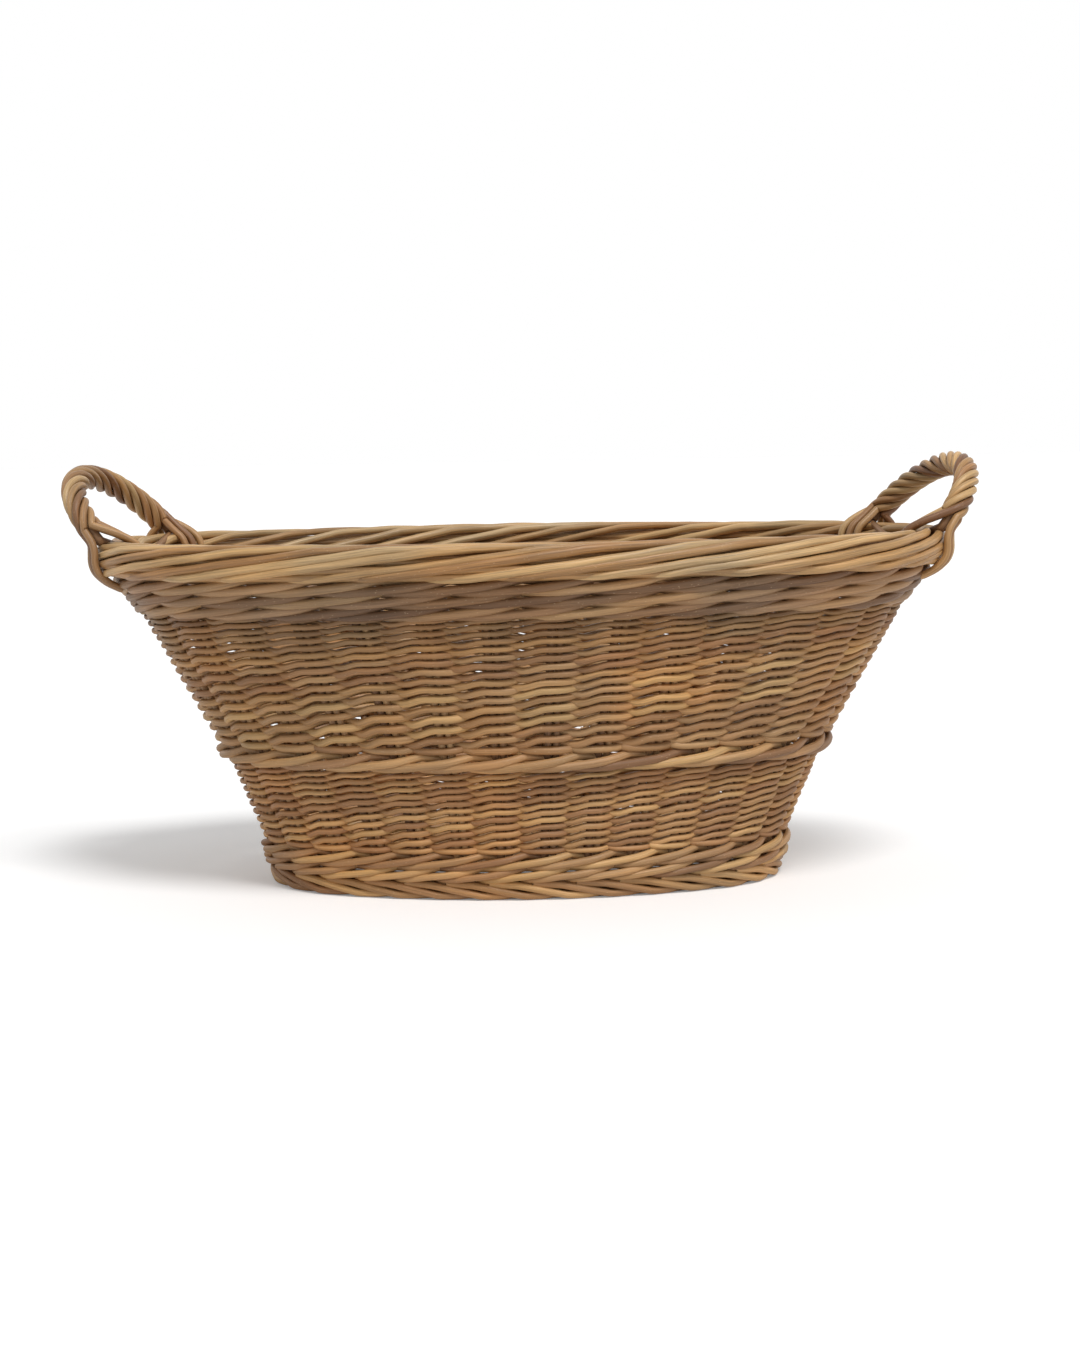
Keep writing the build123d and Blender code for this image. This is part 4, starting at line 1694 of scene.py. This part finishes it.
@dataclass(frozen=True)
class Studio:
    """Plain pale floor, soft light and the camera at the photograph's angle.

    Args:
        lens: The camera's focal length, in millimetres.
        sensor_width: The camera's sensor, in millimetres.
        distance: How far the camera stands in front of the basket's middle.
        eye_height: Height of the camera.
        aim: Where it looks.
        roll_degrees: How far it is turned about its own line of sight.
        floor_reach: Half the floor's side.
        floor_grey: The floor's colour.
        floor_roughness: The floor's roughness.
        floor_glow: The floor's own light, which only the camera sees.
        sky: Strength of the even light from all round.
        lamps: Name, place, power and softness in degrees of each sun.
    """

    lens: float = 68.7
    sensor_width: float = 36.0
    distance: float = 2.2
    eye_height: float = 0.379
    aim: tuple[float, float, float] = (0.014, 0.0, 0.171)
    roll_degrees: float = -0.92
    floor_reach: float = 30.0
    floor_grey: float = 0.88
    floor_roughness: float = 0.9
    floor_glow: float = 0.2
    sky: float = 0.44
    lamps: tuple[tuple[str, tuple[float, float, float], float, float], ...] = (
        ("Key", (0.6, -1.5, 2.6), 1.85, 18.0),
        ("Fill", (1.6, -1.8, 1.6), 0.3, 40.0),
    )

    def build(self) -> None:
        """Makes the floor, the world's light, the lamps and the camera."""
        self.floor()
        self.light()
        self.camera()

    def floor(self) -> None:
        """A pale floor that glows a little to the camera, so that it meets the white behind it."""
        signs = ((-1, -1), (1, -1), (1, 1), (-1, 1))
        corners = [(x * self.floor_reach, y * self.floor_reach, 0) for x, y in signs]
        mesh = bpy.data.meshes.new("floor")
        mesh.from_pydata(corners, [], [(0, 1, 2, 3)])
        floor = bpy.data.objects.new("floor", mesh)
        bpy.context.scene.collection.objects.link(floor)
        material = bpy.data.materials.new("Floor_paper")
        material.use_nodes = True
        make = TreeMaker(material.node_tree)
        shader = material.node_tree.nodes["Principled BSDF"]
        shader.inputs["Base Color"].default_value = (self.floor_grey, self.floor_grey, self.floor_grey, 1.0)
        shader.inputs["Roughness"].default_value = self.floor_roughness
        shader.inputs["Emission Color"].default_value = (1.0, 1.0, 1.0, 1.0)
        seen = make.node("ShaderNodeLightPath").outputs["Is Camera Ray"]
        make.feed(shader.inputs["Emission Strength"], make.math("MULTIPLY", seen, self.floor_glow))
        mesh.materials.append(material)

    def light(self) -> None:
        """An even world, seen as white, and two soft suns."""
        world = bpy.data.worlds.new("Studio")
        bpy.context.scene.world = world
        world.use_nodes = True
        make = TreeMaker(world.node_tree)
        world.node_tree.nodes.clear()
        rays = make.node("ShaderNodeLightPath").outputs
        seen = make.math("MAXIMUM", rays["Is Camera Ray"], rays["Is Glossy Ray"])
        strength = make.math("ADD", make.math("MULTIPLY", seen, 1.0 - self.sky), self.sky)
        sky = make.node("ShaderNodeBackground", Color=(1.0, 1.0, 1.0, 1.0), Strength=strength)
        make.node("ShaderNodeOutputWorld", Surface=sky.outputs[0])
        for name, place, power, softness in self.lamps:
            data = bpy.data.lights.new(name, "SUN")
            data.energy, data.angle = power, math.radians(softness)
            lamp = bpy.data.objects.new(name, data)
            lamp.location = place
            lamp.rotation_euler = (-Vector(place)).to_track_quat("-Z", "Y").to_euler()
            bpy.context.scene.collection.objects.link(lamp)

    def camera(self) -> None:
        """The camera, looking a little down, with the photograph's slight roll."""
        data = bpy.data.cameras.new("Camera")
        data.lens, data.sensor_width, data.sensor_fit = self.lens, self.sensor_width, "AUTO"
        camera = bpy.data.objects.new("Camera", data)
        camera.location = (0.0, -self.distance, self.eye_height)
        turn = (Vector(self.aim) - camera.location).to_track_quat("-Z", "Y").to_matrix()
        roll = Matrix.Rotation(math.radians(self.roll_degrees), 3, "Z")
        camera.rotation_euler = (turn @ roll).to_euler()
        bpy.context.scene.collection.objects.link(camera)
        bpy.context.scene.camera = camera
        bpy.context.scene.view_settings.view_transform = "Standard"


def main() -> None:
    """Builds the basket from the foot up, then the studio."""
    logging.basicConfig(level=logging.INFO, format="%(name)s %(message)s")
    parts = (BasketShape(), RodTree(), Finishes())
    assemblies = [
        Base(*parts),
        *(Stakes(*parts, side=side) for side in Side),
        FootBorder(*parts),
        Wale(
            *parts,
            node="upsett_wale",
            width=6.0 * MM,
            lift=1.8,
            swell=3.0 * MM,
            reach_down=9.0 * MM,
            seed=22,
        ),
        Siding(
            *parts,
            node="lower_siding",
            first_width=5.2 * MM,
            last_width=4.3 * MM,
            first_climb=3.8 * MM,
            last_climb=2.9 * MM,
            wander=1.0 * MM,
            kind=Kind.FINE,
            seed=12,
        ),
        Wale(*parts, node="middle_wale", swell=4.0 * MM),
        Siding(*parts, node="upper_siding", reach_up=4.5 * MM),
        Wale(
            *parts,
            node="top_wale",
            width=7.4 * MM,
            lift=1.4,
            reach_up=7.0 * MM,
            swing=4.8 * MM,
            kind=Kind.TOP_WALE,
            seed=24,
        ),
        RimBorder(*parts),
        Handle(*parts, sign=1, label="right", seed=71),
        Handle(*parts, sign=-1, label="left", seed=72),
    ]
    for assembly in assemblies:
        assembly.build()
    Studio().build()


if __name__ == "__main__":
    main()
